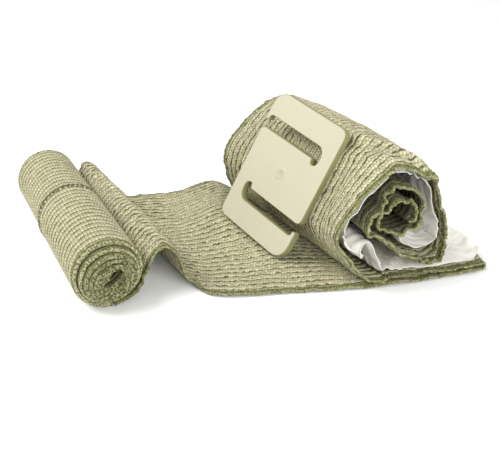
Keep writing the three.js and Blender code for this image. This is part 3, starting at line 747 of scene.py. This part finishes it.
    def dressing_pad(self, shares):
        """The pad: its free sheet, pleat, lining and curled end."""
        s = self.s
        first = s.pad_near_inset / s.band_width
        last = 1 - s.pad_far_inset / s.band_width
        shares = first + (last - first) * shares
        share = shares[None]
        sheet = np.stack([
            self.coil_x + s.pad_tail * between_edges(PAD_SHEET, "near", "far", share),
            s.band_width * between_edges(PAD_SHEET, "near_side", "far_side", share),
            self.pad_layer + s.pad_thickness * PAD_SHEET["lift"][:, None] + 0 * share,
        ], axis=-1)
        inset = self.half + s.piece_gap + s.pad_thickness / 2
        turn = self.coil_turn(shares, LINING_STEPS)
        lining = (turn - surface_normals(turn) * inset)[LINING_START:]
        foot = smooth_path(np.concatenate([sheet, self.pad_folds(PAD_PLEAT, shares), lining[:1]]))
        foot[..., 2] = np.maximum(foot[..., 2], self.pad_layer)
        curl = smooth_path(np.concatenate([lining[-1:], self.pad_folds(PAD_CURL, shares)]))
        return np.concatenate([foot, lining[1:-1], curl])


# Cloth meshes


def across_places(count, edge):
    """Shares across the band, closer together at both edges so they can be rounded."""
    inner = np.linspace(edge, 1 - edge, count)
    rim = edge * (1 - np.cos(np.linspace(0, math.pi / 2, RIM_COLUMNS + 1)[:-1]))
    return np.concatenate([rim, inner, 1 - rim[::-1]])


def link_mesh(bm, name):
    """Turn a finished bmesh into an object of the scene."""
    mesh = bpy.data.meshes.new(name)
    bm.to_mesh(mesh)
    bm.free()
    piece = bpy.data.objects.new(name, mesh)
    bpy.context.scene.collection.objects.link(piece)
    return piece


def cloth_piece(name, layout, grid, shares, lengths, thickness, edge, relief):
    """Closed cloth about a middle surface: one grid wound round it, closed at both ends.

    relief gives the shift along the surface's normal, the shift across and the rib's height.
    The map counts across and along the cloth in widths of the band.
    """
    rows = len(grid)
    normal = surface_normals(grid)
    sideways = unit(np.gradient(grid, axis=1))
    inside = np.minimum(shares, 1 - shares) / edge
    round_edge = np.sqrt(np.clip(1 - (1 - np.clip(inside, 0, 1)) ** 2, 0, 1))
    taper = np.ones((rows, 1))
    taper[[0, -1]] = 0
    lift, slip, rib = relief(*np.meshgrid(shares, lengths))
    grid = grid + normal * lift[..., None] + sideways * slip[..., None]
    wall = normal * ((thickness / 2 + rib) * round_edge * taper)[..., None]
    top = grid + wall
    bottom = grid - wall
    around = np.concatenate([top, bottom[:, -2:0:-1], top[:, :1]], axis=1)
    places = (around + np.array(layout.shift)) * MM
    places[..., 2] = np.maximum(places[..., 2], 0)
    map_across = np.concatenate([shares, shares[-2:0:-1], shares[:1]])
    map_along = lengths / layout.s.band_width

    wide = around.shape[1]
    bm = bmesh.new()
    bmesh.ops.create_grid(bm, x_segments=rows - 1, y_segments=wide - 1, size=0.5)
    cloth_map = bm.loops.layers.uv.new("cloth")
    spots = {}
    for vert in bm.verts:
        i = round((vert.co.x + 0.5) * (rows - 1))
        j = round((vert.co.y + 0.5) * (wide - 1))
        spots[vert.index] = (i, j)
        vert.co = places[i, j]
    for face in bm.faces:
        face.smooth = True
        for loop in face.loops:
            i, j = spots[loop.vert.index]
            loop[cloth_map].uv = (map_across[j], map_along[i])
    bmesh.ops.remove_doubles(bm, verts=bm.verts, dist=WELD)
    bmesh.ops.recalc_face_normals(bm, faces=bm.faces)
    return link_mesh(bm, name)


# Materials

# Bands of the knit's pattern and of its painted shade, in mm from a dot's middle, the selvedge or the
# lap's edge.
DOT_RIM = (0.2, 0.5)
RIM_END = (2.0, 3.0)
CORD = ((0.5, 1.0), (1.7, 2.4))
WOUND_EDGE = (0.3, 1.2)
# The lap's dark edge: its olive selvedge with a painted shadow under its step.
LAP_EDGE_AND_SHADOW = ((-2.0, -1.5), (1.0, 2.0))
# Where the painted shade inside a winding fades in from the selvedge.
INSIDE_SHADE_EDGE = (0.5, 5.0)

# Bands along the cloth, in widths of the band.
FIRST_TURN_END = (0.72, 0.84)
# Where the inside of the roll and of the tail begins; it takes painted shade.
ROLL_INSIDE = (1.1, 2.0)
TAIL_INSIDE = (0.3, 0.6)

# Gap between two loops as shares of half a loop, and how much the loops differ in tone.
TIGHT_GAP = (0.62, 0.9)
LOOSE_GAP = (0.55, 1.0)
TIGHT_PATCHES = 0.2
LOOSE_PATCHES = 0.36

# Rim of the pad with painted shade, in widths of the band.
PAD_RIM = (0.002, 0.012)


class Field:
    """A shader socket that can be used in sums."""

    def __init__(self, paint, socket):
        self.paint = paint
        self.socket = socket

    def __add__(self, other):
        return self.paint.maths("ADD", self, other)

    def __radd__(self, other):
        return self.paint.maths("ADD", other, self)

    def __sub__(self, other):
        return self.paint.maths("SUBTRACT", self, other)

    def __rsub__(self, other):
        return self.paint.maths("SUBTRACT", other, self)

    def __mul__(self, other):
        return self.paint.maths("MULTIPLY", self, other)

    def __rmul__(self, other):
        return self.paint.maths("MULTIPLY", other, self)

    def __truediv__(self, other):
        return self.paint.maths("DIVIDE", self, other)


class Paint:
    """A material and the nodes that colour it."""

    def __init__(self, name):
        self.material = bpy.data.materials.new(name)
        self.material.use_nodes = True
        self.tree = self.material.node_tree
        self.shader = self.tree.nodes["Principled BSDF"]

    def node(self, kind, settings=(), inputs=(), output=0):
        """Add a node: its settings first, then the values or links of its sockets."""
        made = self.tree.nodes.new(kind)
        for name, value in dict(settings).items():
            setattr(made, name, value)
        for name, value in dict(inputs).items():
            self.feed(made.inputs[name], value)
        return Field(self, made.outputs[output])

    def feed(self, socket, value):
        """Link a field to a socket, or set the socket to a value."""
        if isinstance(value, Field):
            self.tree.links.new(value.socket, socket)
        else:
            socket.default_value = value

    def maths(self, operation, first, second=0.0):
        """One sum on numbers or fields."""
        return self.node("ShaderNodeMath", {"operation": operation}, {0: first, 1: second})

    def between(self, low, high, value):
        """Smooth step of a value from 0 at low to 1 at high."""
        return self.node(
            "ShaderNodeMapRange", {"interpolation_type": "SMOOTHSTEP"},
            {"Value": value, "From Min": low, "From Max": high}, "Result")

    def stripe(self, rise, fall, value):
        """A band that rises between the two places of rise and falls between those of fall."""
        return self.between(*rise, value) * (1.0 - self.between(*fall, value))

    def mix(self, share, first, second):
        """Mix two colours."""
        first, second = (
            colour if isinstance(colour, Field) else (*colour, 1) for colour in (first, second))
        return self.node(
            "ShaderNodeMix", {"data_type": "RGBA"}, {"Factor": share, 6: first, 7: second}, 2)

    def brighten(self, colour, factor):
        """Scale a colour by a number."""
        return self.node(
            "ShaderNodeVectorMath", {"operation": "SCALE"}, {0: colour, "Scale": factor})

    def vector(self, x, y):
        return self.node("ShaderNodeCombineXYZ", (), {"X": x, "Y": y})

    def noise(self, place, scale, detail):
        return self.node(
            "ShaderNodeTexNoise", (), {"Vector": place, "Scale": scale, "Detail": detail}, "Fac")

    def grain(self, across, along, detail):
        """Noise on the cloth's own map, with one lump for each unit across and along."""
        return self.noise(self.vector(across, along), 1.0, detail)

    def map_places(self):
        """The places across and along on the cloth's own map, in widths of the band."""
        place = self.node("ShaderNodeUVMap", {"uv_map": "cloth"})
        return [self.node("ShaderNodeSeparateXYZ", (), {0: place}, axis) for axis in ("X", "Y")]

    def object_place(self):
        return self.node("ShaderNodeTexCoord", (), (), "Object")

    def bump(self, height, distance, strength):
        return self.node(
            "ShaderNodeBump", (),
            {"Height": height, "Distance": distance, "Strength": strength}, "Normal")

    def finish(self, sockets):
        """Feed the shader's own sockets."""
        for name, value in sockets.items():
            self.feed(self.shader.inputs[name], value)
        return self.material


def darker(colour, share):
    """A share of a colour's brightness."""
    return tuple(share * part for part in colour)


def knit_paint(context, name, waver, cross, line, lap=False, inside_shade=0.0, shade=1.0):
    """Elastic knit: ribs of paired loops, dark lines between them, olive selvedges.

    waver bends the ribs, and cross and line darken the gaps across and along them. lap tightens
    the loops and adds the dark edge of the roll's outermost lap: its olive selvedge with a painted
    shadow under its step. The next argument paints shade on the part that lies inside a winding,
    and shade scales the whole colour as a painted shade on one stretch of the wrap.
    """
    sizes = sizes_of(context)
    look = context.scene.knit_look
    paint = Paint(name)
    across, along = paint.map_places()

    drift = paint.grain(across * 3.0, along * 6.0, 1.0) - 0.5
    quiver = paint.grain(across * 30.0, along * 40.0, 1.0) - 0.5
    rib = across * look.ribs + drift * waver + quiver * (waver * 0.9)
    in_rib = paint.maths("FRACT", rib)
    off_centre = paint.maths("ABSOLUTE", in_rib - 0.5) * 2.0
    valley = paint.between(0.62, 0.9, off_centre)
    dash = paint.between(0.3, 0.62, paint.grain(across * 30.0, along * 36.0, 0.0))

    stitch = along * (sizes.band_width / look.stitch) + quiver * 0.5
    loop = stitch if lap else stitch + paint.maths("GREATER_THAN", in_rib, 0.5) * 0.5
    off_loop = paint.maths("ABSOLUTE", paint.maths("FRACT", loop) - 0.5) * 2.0
    gap = paint.between(*(TIGHT_GAP if lap else LOOSE_GAP), off_loop)
    cell = paint.vector(paint.maths("FLOOR", rib * 2.0), paint.maths("FLOOR", loop))
    chance = paint.node("ShaderNodeTexWhiteNoise", {"noise_dimensions": "2D"}, {"Vector": cell}, "Value")

    dot_across = (in_rib - 0.5) * (sizes.band_width / look.ribs)
    dot_along = (paint.maths("FRACT", stitch) - 0.5) * look.stitch
    from_dot = paint.maths("SQRT", dot_across * dot_across + dot_along * dot_along)
    dot = 1.0 - paint.between(*DOT_RIM, from_dot)

    cloud = paint.noise(paint.vector(across, along), 5.0, 3.0)
    fibre = paint.grain(across * 260.0, along * 200.0, 2.0)
    yarn = paint.mix(paint.between(0.4, 0.65, cloud) * 0.35, look.light, look.green)
    yarn = paint.mix(gap * cross, yarn, look.mid)
    yarn = paint.mix(valley * (0.45 + dash * 0.55) * line, yarn, look.line)
    yarn = paint.mix(dot * (0.62 * line), yarn, look.line)

    edge = paint.maths("MINIMUM", across, 1.0 - across) * sizes.band_width + quiver * 0.8
    speck = paint.between(0.42, 0.58, paint.noise(paint.object_place(), 1250.0, 1.0))
    inner = paint.between(*(ROLL_INSIDE if lap else TAIL_INSIDE), along)
    rim_light = 0.85 - inner * 0.3 if lap else 0.52
    rim_yarn = paint.mix(speck * rim_light, look.selvedge, look.light)
    yarn = paint.mix((1.0 - paint.between(*RIM_END, edge)) * 0.85, yarn, rim_yarn)
    cord_yarn = paint.mix(speck, darker(look.selvedge, 0.4), look.selvedge)
    yarn = paint.mix(paint.stripe(*CORD, edge) * 0.85, yarn, cord_yarn)
    if lap:
        wound_edge = (1.0 - paint.between(*WOUND_EDGE, edge)) * inner * (0.75 - speck * 0.6)
        yarn = paint.mix(wound_edge, yarn, darker(look.selvedge, 0.35))
        # The lap's dark edge on the first turn: its olive selvedge with a painted shadow under its step.
        tooth = paint.maths("SINE", along * (2 * math.pi * sizes.band_width / LAP_PITCH))
        off_lap = (across - lap_share(sizes)) * sizes.band_width - tooth * 0.3
        first_turn = 1.0 - paint.between(*FIRST_TURN_END, along)
        yarn = paint.mix(
            paint.stripe(*LAP_EDGE_AND_SHADOW, off_lap) * first_turn * 0.9, yarn, darker(look.selvedge, 0.35))
    # Painted shade on the part that lies inside a winding, away from its selvedges.
    if inside_shade:
        painted_inside_shade = paint.between(*INSIDE_SHADE_EDGE, edge) * inner * inside_shade
        yarn = paint.mix(painted_inside_shade, yarn, darker(look.selvedge, 0.2))

    patchy = TIGHT_PATCHES if lap else LOOSE_PATCHES
    tone = 0.78 - patchy / 2 + chance * patchy + cloud * 0.18 + fibre * 0.24
    loft = (1.0 - off_centre * off_centre) + (1.0 - gap) * 0.4 - dot * 0.4 + fibre * 0.4
    return paint.finish({
        "Base Color": paint.brighten(yarn, tone * shade),
        "Roughness": 0.95,
        "Normal": paint.bump(loft, 0.55 * MM, 0.9),
        "Sheen Weight": 0.1,
        "Sheen Roughness": 0.6,
        "Sheen Tint": (*look.light, 1),
    })


def nonwoven_paint(look):
    """White nonwoven: fine pressed fibres, with painted shade along its cut edge."""
    paint = Paint("pad nonwoven")
    place = paint.object_place()
    across, _ = paint.map_places()
    # Painted shade along the cut edge.
    rim = 1.0 - paint.between(*PAD_RIM, paint.maths("MINIMUM", across, 1.0 - across))
    fibre = paint.noise(place, 900.0, 3.0)
    cloud = paint.noise(place, 45.0, 2.0)
    ridge = paint.maths("ABSOLUTE", paint.noise(place, 190.0, 3.0) - 0.5)
    tone = (0.93 + fibre * 0.05 + cloud * 0.06) * (1.0 - rim * 0.25)
    colour = paint.mix(cloud, look.white, darker(look.white, 0.97))
    return paint.finish({
        "Base Color": paint.brighten(colour, tone),
        "Roughness": 0.85,
        "Normal": paint.bump(ridge * 2.0 + fibre * 0.05, 0.6 * MM, 0.5),
    })


def plate_paint(name, look, colour, gate):
    """Moulded plastic: even satin with faint mottling and a gate mark in the middle, with painted shade in
    its dimple.
    """
    paint = Paint(name)
    place = paint.object_place()
    cloud = paint.noise(place, 30.0, 2.0)
    grain = paint.noise(place, 1500.0, 2.0)
    away = paint.node(
        "ShaderNodeVectorMath", {"operation": "DISTANCE"}, {0: place, 1: tuple(gate)}, "Value")
    ring = away / (look.gate_size * MM)
    dimple = paint.between(0.35, 0.6, ring) - paint.between(0.6, 1.0, ring) * 0.6
    # Painted shade in the gate mark's dimple.
    shade = 1.0 - (1.0 - paint.between(0.2, 1.2, ring)) * 0.13
    return paint.finish({
        "Base Color": paint.brighten(colour, (0.95 + cloud * 0.1) * shade),
        "Roughness": cloud * 0.1 + 0.4,
        "Normal": paint.bump(grain * 0.1 + dimple, 0.3 * MM, 0.6),
        "Specular IOR Level": 0.35,
    })


# Pieces


def sizes_of(context):
    """The sizes that the sidebar shows."""
    return context.scene.bandage_sizes


def no_crease(across, along):
    """No rise anywhere, for the pieces without a crease of their own."""
    return 0 * across


def top_crease(across, along):
    """The diagonal crease over the coil's top and the soft rise behind it."""
    off = along - np.interp(across, CREASE["across"], CREASE["along"])
    ridge = bell(off, 1.7) - 0.45 * bell(off + 4.5, 2.2)
    rise = bell(along - RISE["along"], RISE["length"]) * bell(across - RISE["across"], RISE["width"])
    return CREASE_HEIGHT * ridge * (1 - ease(0.4, 0.75, across)) + RISE["height"] * rise


def fold_share(along, fold_place):
    """Share of the crepe on the flat run: more on the hump, and turned over past the fold."""
    hump = 1 + HUMP_CREPE["more"] * (1 - ease(HUMP_CREPE["start"], HUMP_CREPE["end"], along))
    return hump * np.interp(along - fold_place, FOLD_CREPE["past"], FOLD_CREPE["share"])


def add_wrap_piece(context, name, surface, paint, node, spacing, crepe, crimp, thickness,
                   bend_rows=5.0, turns_over=False, crease=no_crease):
    """Build one stretch of the knitted wrap and stand it in for its solid.

    spacing is the spacing of its rows, as even_rows takes it. crepe is the height of its waves,
    and crimp that of its selvedge's. turns_over marks the piece that is folded back on itself.
    """
    sizes = sizes_of(context)
    look = context.scene.knit_look
    layout = Layout(sizes)
    shares = across_places(look.ribs * RIB_COLUMNS, WRAP_EDGE)
    grid, lengths = even_rows(surface(layout, shares), spacing, bend_rows)
    fold_place = lengths[np.argmax(grid[..., 0].mean(axis=1))]

    def relief(across, along):
        rib = -0.5 * np.cos(2 * math.pi * across * look.ribs)
        wave = 0
        for part in CREPE_WAVES:
            noise = soft_noise(across * part["across"], along / part["length"], part["seed"])
            wave = wave + part["weight"] * noise
        rim = np.minimum(across, 1 - across) * sizes.band_width
        side = np.where(across < 0.5, -1, 1)
        tooth = np.sin(along * 2 * math.pi / TOOTH_PITCH + 2 * edge_noise(along, TOOTH_DRIFT))
        frill = 0.6 * tooth + 0.4 * edge_noise(along, FRILL, side)
        slip = side * look.scallop * frill * (1 - ease(0, FRILL_WIDTH, rim))
        pinch = crimp * edge_noise(along, PINCH) * (1 - ease(0, CRIMP_WIDTH, rim))
        lift = crepe * (0.5 + 0.5 * wave) + pinch
        if turns_over:
            lift = lift * fold_share(along, fold_place)
        return lift + crease(across, along), slip, look.rib_relief * rib

    piece = cloth_piece(name, layout, grid, shares, lengths, thickness, WRAP_EDGE, relief)
    piece.data.materials.append(paint)
    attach(piece, "root")
    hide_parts(node)
    return piece, (sizes.band_width * MM, lengths[-1] * MM)


class BANDAGE_OT_roll(bpy.types.Operator):
    """Wind the tight supply roll"""

    bl_idname = "bandage.roll"
    bl_label = "Supply roll"

    def execute(self, context):
        # The roll's inner turns get painted shade, and its lap's edge a painted shadow.
        paint = knit_paint(
            context, "knit of the roll", waver=0.3, cross=0.8, line=0.95, lap=True, inside_shade=0.8)
        piece, flat = add_wrap_piece(
            context, "wrap_roll", Layout.supply_roll, paint, "supply_roll",
            spacing=((80, 90), (0.5, 2.3)), crepe=0.15, crimp=0.0, thickness=1.65, bend_rows=1.5)
        return {"FINISHED"}


class BANDAGE_OT_run(bpy.types.Operator):
    """Lay the hump, the flat run and the fold"""

    bl_idname = "bandage.run"
    bl_label = "Flat run"

    def execute(self, context):
        # The run's knit gets a painted shade over its whole colour.
        paint = knit_paint(context, "knit of the run", waver=0.9, cross=0.5, line=1.0, shade=0.93)
        piece, flat = add_wrap_piece(
            context, "wrap_run", Layout.flat_run, paint, "flat_run",
            spacing=((0,), (0.85,)), crepe=context.scene.knit_look.crepe, crimp=0.35, thickness=1.0,
            turns_over=True)
        return {"FINISHED"}


class BANDAGE_OT_coil(bpy.types.Operator):
    """Lay the loose coil's outer turn and tail"""

    bl_idname = "bandage.coil"
    bl_label = "Loose coil"

    def execute(self, context):
        crepe = context.scene.knit_look.crepe
        paint = knit_paint(context, "knit of the coil", waver=0.7, cross=0.5, line=1.0)
        turn, flat = add_wrap_piece(
            context, "wrap_coil", Layout.coil_turn, paint, "coil_turn",
            spacing=((0,), (0.7,)), crepe=crepe, crimp=0.5, thickness=1.2, crease=top_crease)
        # The tail's inner turns get painted shade.
        paint = knit_paint(context, "knit of the tail", waver=0.9, cross=0.5, line=1.0, inside_shade=0.9)
        tail, flat = add_wrap_piece(
            context, "wrap_tail", Layout.coil_tail, paint, "coil_tail",
            spacing=((0,), (0.9,)), crepe=crepe, crimp=1.9, thickness=1.2)
        return {"FINISHED"}


class BANDAGE_OT_pad(bpy.types.Operator):
    """Fold the white dressing pad"""

    bl_idname = "bandage.pad"
    bl_label = "Dressing pad"

    def execute(self, context):
        sizes = sizes_of(context)
        look = context.scene.pad_look
        layout = Layout(sizes)
        shares = across_places(PAD_COLUMNS, PAD_EDGE)
        grid, lengths = even_rows(layout.dressing_pad(shares), ((0,), (1.2,)), bend_rows=3.0)

        def relief(across, along):
            x = across * sizes.band_width
            warp = PAD_WARP["height"] * soft_noise(
                x / PAD_WARP["length"], along / PAD_WARP["length"], PAD_WARP["seed"])
            strong = 1 - PAD_CALM["share"] * (1 - soft_noise(
                x / PAD_CALM["length"], along / PAD_CALM["length"], PAD_CALM["seed"]))
            folds = 0
            for wave in PAD_WAVES:
                place = x * math.cos(wave["turn"]) + along * math.sin(wave["turn"]) + warp
                place = place / wave["length"]
                fold = np.abs(place - np.floor(place) - 0.5) * 2
                folds = folds + wave["weight"] * fold * strong
            room = np.interp(along, PAD_ROOM["along"], PAD_ROOM["room"])
            rim = np.minimum(across, 1 - across) * sizes.band_width
            ragged = 0.5 * edge_noise(along, PAD_RAGGED) * (1 - ease(0, 3, rim))
            free_end = 0.45 * (1 - ease(6, 14, along))
            return -look.crease * room * (folds - free_end), ragged, 0 * across

        piece = cloth_piece(
            "pad_white", layout, grid, shares, lengths, look.thickness, PAD_EDGE, relief)
        piece.data.materials.append(nonwoven_paint(look))
        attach(piece, "root")
        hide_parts("dressing_pad")
        return {"FINISHED"}


# Reach of each bend of the plate's outline, and of its rounded rim, in mm.
PLATE_BENDS = {"foot": 8, "lip_front": 0.9, "lip_inner": 0.7, "mouth": 3, "head": 4.5}
BEND_STEPS = 8
RIM_BEVEL = 0.35
SIDE_CORNERS = 4


def plate_half(s):
    """Half of the plate's outline: each spot, and the spot that its bend turns about, if any."""
    wide = s.plate_width
    tall = s.plate_height
    low = s.slot_from_edge
    top = low + s.slot_height
    end = s.slot_end_bar
    notch = s.slot_notch
    lip_top = low + s.lip_height
    lip_back = wide - s.lip_width
    foot, mouth, head = (PLATE_BENDS[name] for name in ("foot", "mouth", "head"))
    lip_front, lip_inner = (PLATE_BENDS[name] for name in ("lip_front", "lip_inner"))
    return (
        ((wide - foot, 0), None),
        ((wide, foot), (wide, 0)),
        ((wide, lip_top - lip_front), None),
        ((wide - lip_front, lip_top), (wide, lip_top)),
        ((lip_back + lip_inner, lip_top), None),
        ((lip_back, lip_top - lip_inner), (lip_back, lip_top)),
        ((lip_back - s.lip_width, low), (lip_back, low)),
        ((end + notch, low), None),
        ((end - notch / 2, low + notch), (end, low)),
        ((end + notch / 2, top + notch), (end - notch, top + notch)),
        ((end + notch, top), (end + notch, top + notch)),
        ((wide - mouth, top), None),
        ((wide, top + mouth), (wide, top)),
        ((wide, tall - head), None),
        ((wide - head, tall), (wide, tall)),
    )


def rounded_outline(spots):
    """Points along straight runs and quadratic bends, from spot to spot."""
    points = [Vector(spots[-1][0])]
    for place, about in spots:
        start = points[-1]
        place = Vector(place)
        if about is None:
            points.append(place)
            continue
        about = Vector(about)
        for step in range(1, BEND_STEPS + 1):
            t = step / BEND_STEPS
            points.append(start * (1 - t) ** 2 + about * 2 * t * (1 - t) + place * t * t)
    return points[1:]


def plate_piece(s, layout):
    """Extrude the plate's outline, and round the rims of both faces."""
    half = plate_half(s)

    def facing(spot):
        return spot and (s.plate_width - spot[0], s.plate_height - spot[1])

    def is_side(face):
        return len(face.verts) <= SIDE_CORNERS

    other = tuple((facing(place), facing(about)) for place, about in half)
    bm = bmesh.new()
    outline = bm.faces.new([bm.verts.new((x, y, 0)) for x, y in rounded_outline(half + other)])
    grown = bmesh.ops.extrude_face_region(bm, geom=[outline])
    back = [part for part in grown["geom"] if isinstance(part, bmesh.types.BMVert)]
    bmesh.ops.translate(bm, verts=back, vec=(0, 0, -s.plate_thickness))
    bmesh.ops.recalc_face_normals(bm, faces=bm.faces)
    # The sides and rounded rims take the second material, the plastic with painted shade.
    for face in bm.faces:
        face.material_index = 1 if is_side(face) else 0
    rims = [edge for edge in bm.edges if len({is_side(face) for face in edge.link_faces}) == 2]
    bmesh.ops.bevel(
        bm, geom=rims, offset=RIM_BEVEL, segments=3, affect="EDGES", profile=0.5, material=1,
        clamp_overlap=True)
    for face in bm.faces:
        face.smooth = is_side(face)
    bmesh.ops.transform(
        bm, verts=bm.verts,
        matrix=Matrix.Scale(MM, 4) @ Matrix.Translation(layout.shift) @ layout.plate)
    return link_mesh(bm, "plate")


class BANDAGE_OT_plate(bpy.types.Operator):
    """Mould the pressure plate: its outline, thickness and rounded edges"""

    bl_idname = "bandage.plate"
    bl_label = "Pressure plate"

    def execute(self, context):
        sizes = sizes_of(context)
        look = context.scene.plate_look
        layout = Layout(sizes)
        piece = plate_piece(sizes, layout)
        middle = layout.plate @ Vector((sizes.plate_width / 2, sizes.plate_height / 2, 0))
        gate = (middle + layout.shift) * MM
        piece.data.materials.append(plate_paint("plate face", look, look.cream, gate))
        # The sides' material is the plastic with painted shade.
        piece.data.materials.append(plate_paint("plate side painted shade", look, look.side, gate))
        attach(piece, "root")
        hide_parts("pressure_plate")
        return {"FINISHED"}


# The stage, in metres and watts

FLOOR_SIZE = 4.0
FLOOR_DROP = 0.0001
WORLD_LIGHT = 0.6
LAMPS = (
    {"name": "key", "place": (-0.6, 0.1, 0.8), "aim": (0, 0, 0), "size": 0.7, "power": 9.5},
    {"name": "front", "place": (0.3, -0.9, 0.45), "aim": (0.03, 0, 0.02), "size": 0.8, "power": 9.0},
)


def add_lamp(name, place, aim, size, power):
    """Hang a round soft light that looks at a point."""
    data = bpy.data.lights.new(name, "AREA")
    data.shape = "DISK"
    data.size = size
    data.energy = power
    lamp = bpy.data.objects.new(name, data)
    lamp.location = place
    lamp.rotation_euler = (Vector(aim) - Vector(place)).to_track_quat("-Z", "Y").to_euler()
    bpy.context.scene.collection.objects.link(lamp)


class BANDAGE_OT_stage(bpy.types.Operator):
    """Set the floor, the light and the camera"""

    bl_idname = "bandage.stage"
    bl_label = "Stage"

    def execute(self, context):
        look = context.scene.stage_look
        bm = bmesh.new()
        bmesh.ops.create_grid(bm, x_segments=1, y_segments=1, size=FLOOR_SIZE)
        floor = link_mesh(bm, "floor")
        floor.location.z = -FLOOR_DROP
        floor.data.materials.append(Paint("floor white").finish({
            "Base Color": (*look.floor, 1),
            "Roughness": 0.9,
            "Specular IOR Level": 0.1,
        }))

        world = bpy.data.worlds.new("studio")
        world.use_nodes = True
        back = world.node_tree.nodes["Background"]
        back.inputs["Color"].default_value = (1.0, 1.0, 1.0, 1)
        back.inputs["Strength"].default_value = WORLD_LIGHT
        context.scene.world = world
        for lamp in LAMPS:
            add_lamp(**lamp)

        data = bpy.data.cameras.new("camera")
        data.lens = look.lens
        data.sensor_width = 36
        camera = bpy.data.objects.new("camera", data)
        eye = Vector((look.eye_side, -look.eye_back, look.eye_height))
        camera.location = (eye + Layout(sizes_of(context)).shift) * MM
        camera.rotation_euler = Euler(
            (math.radians(90 - look.look_down), 0, math.radians(-look.look_right)))
        context.scene.collection.objects.link(camera)
        context.scene.camera = camera
        context.scene.view_settings.view_transform = "Standard"
        return {"FINISHED"}


OPERATORS = (
    BANDAGE_OT_stage,
    BANDAGE_OT_roll,
    BANDAGE_OT_run,
    BANDAGE_OT_coil,
    BANDAGE_OT_pad,
    BANDAGE_OT_plate,
)


class BANDAGE_PT_panel(bpy.types.Panel):
    """The bandage's pieces, in the 3D view's sidebar"""

    bl_label = "Trauma bandage"
    bl_space_type = "VIEW_3D"
    bl_region_type = "UI"
    bl_category = "Bandage"

    def draw(self, context):
        for operator in OPERATORS:
            self.layout.operator(operator.bl_idname)


def register():
    for group in GROUPS.values():
        bpy.utils.register_class(group)
    for name, group in GROUPS.items():
        setattr(bpy.types.Scene, name, bpy.props.PointerProperty(type=group))
    for operator in OPERATORS:
        bpy.utils.register_class(operator)
    bpy.utils.register_class(BANDAGE_PT_panel)


def unregister():
    bpy.utils.unregister_class(BANDAGE_PT_panel)
    for operator in reversed(OPERATORS):
        bpy.utils.unregister_class(operator)
    for name in GROUPS:
        delattr(bpy.types.Scene, name)
    for group in reversed(GROUPS.values()):
        bpy.utils.unregister_class(group)


def main():
    """Build every piece."""
    register()
    for operator in OPERATORS:
        family, action = operator.bl_idname.split(".")
        getattr(getattr(bpy.ops, family), action)()


if __name__ == "__main__":
    main()
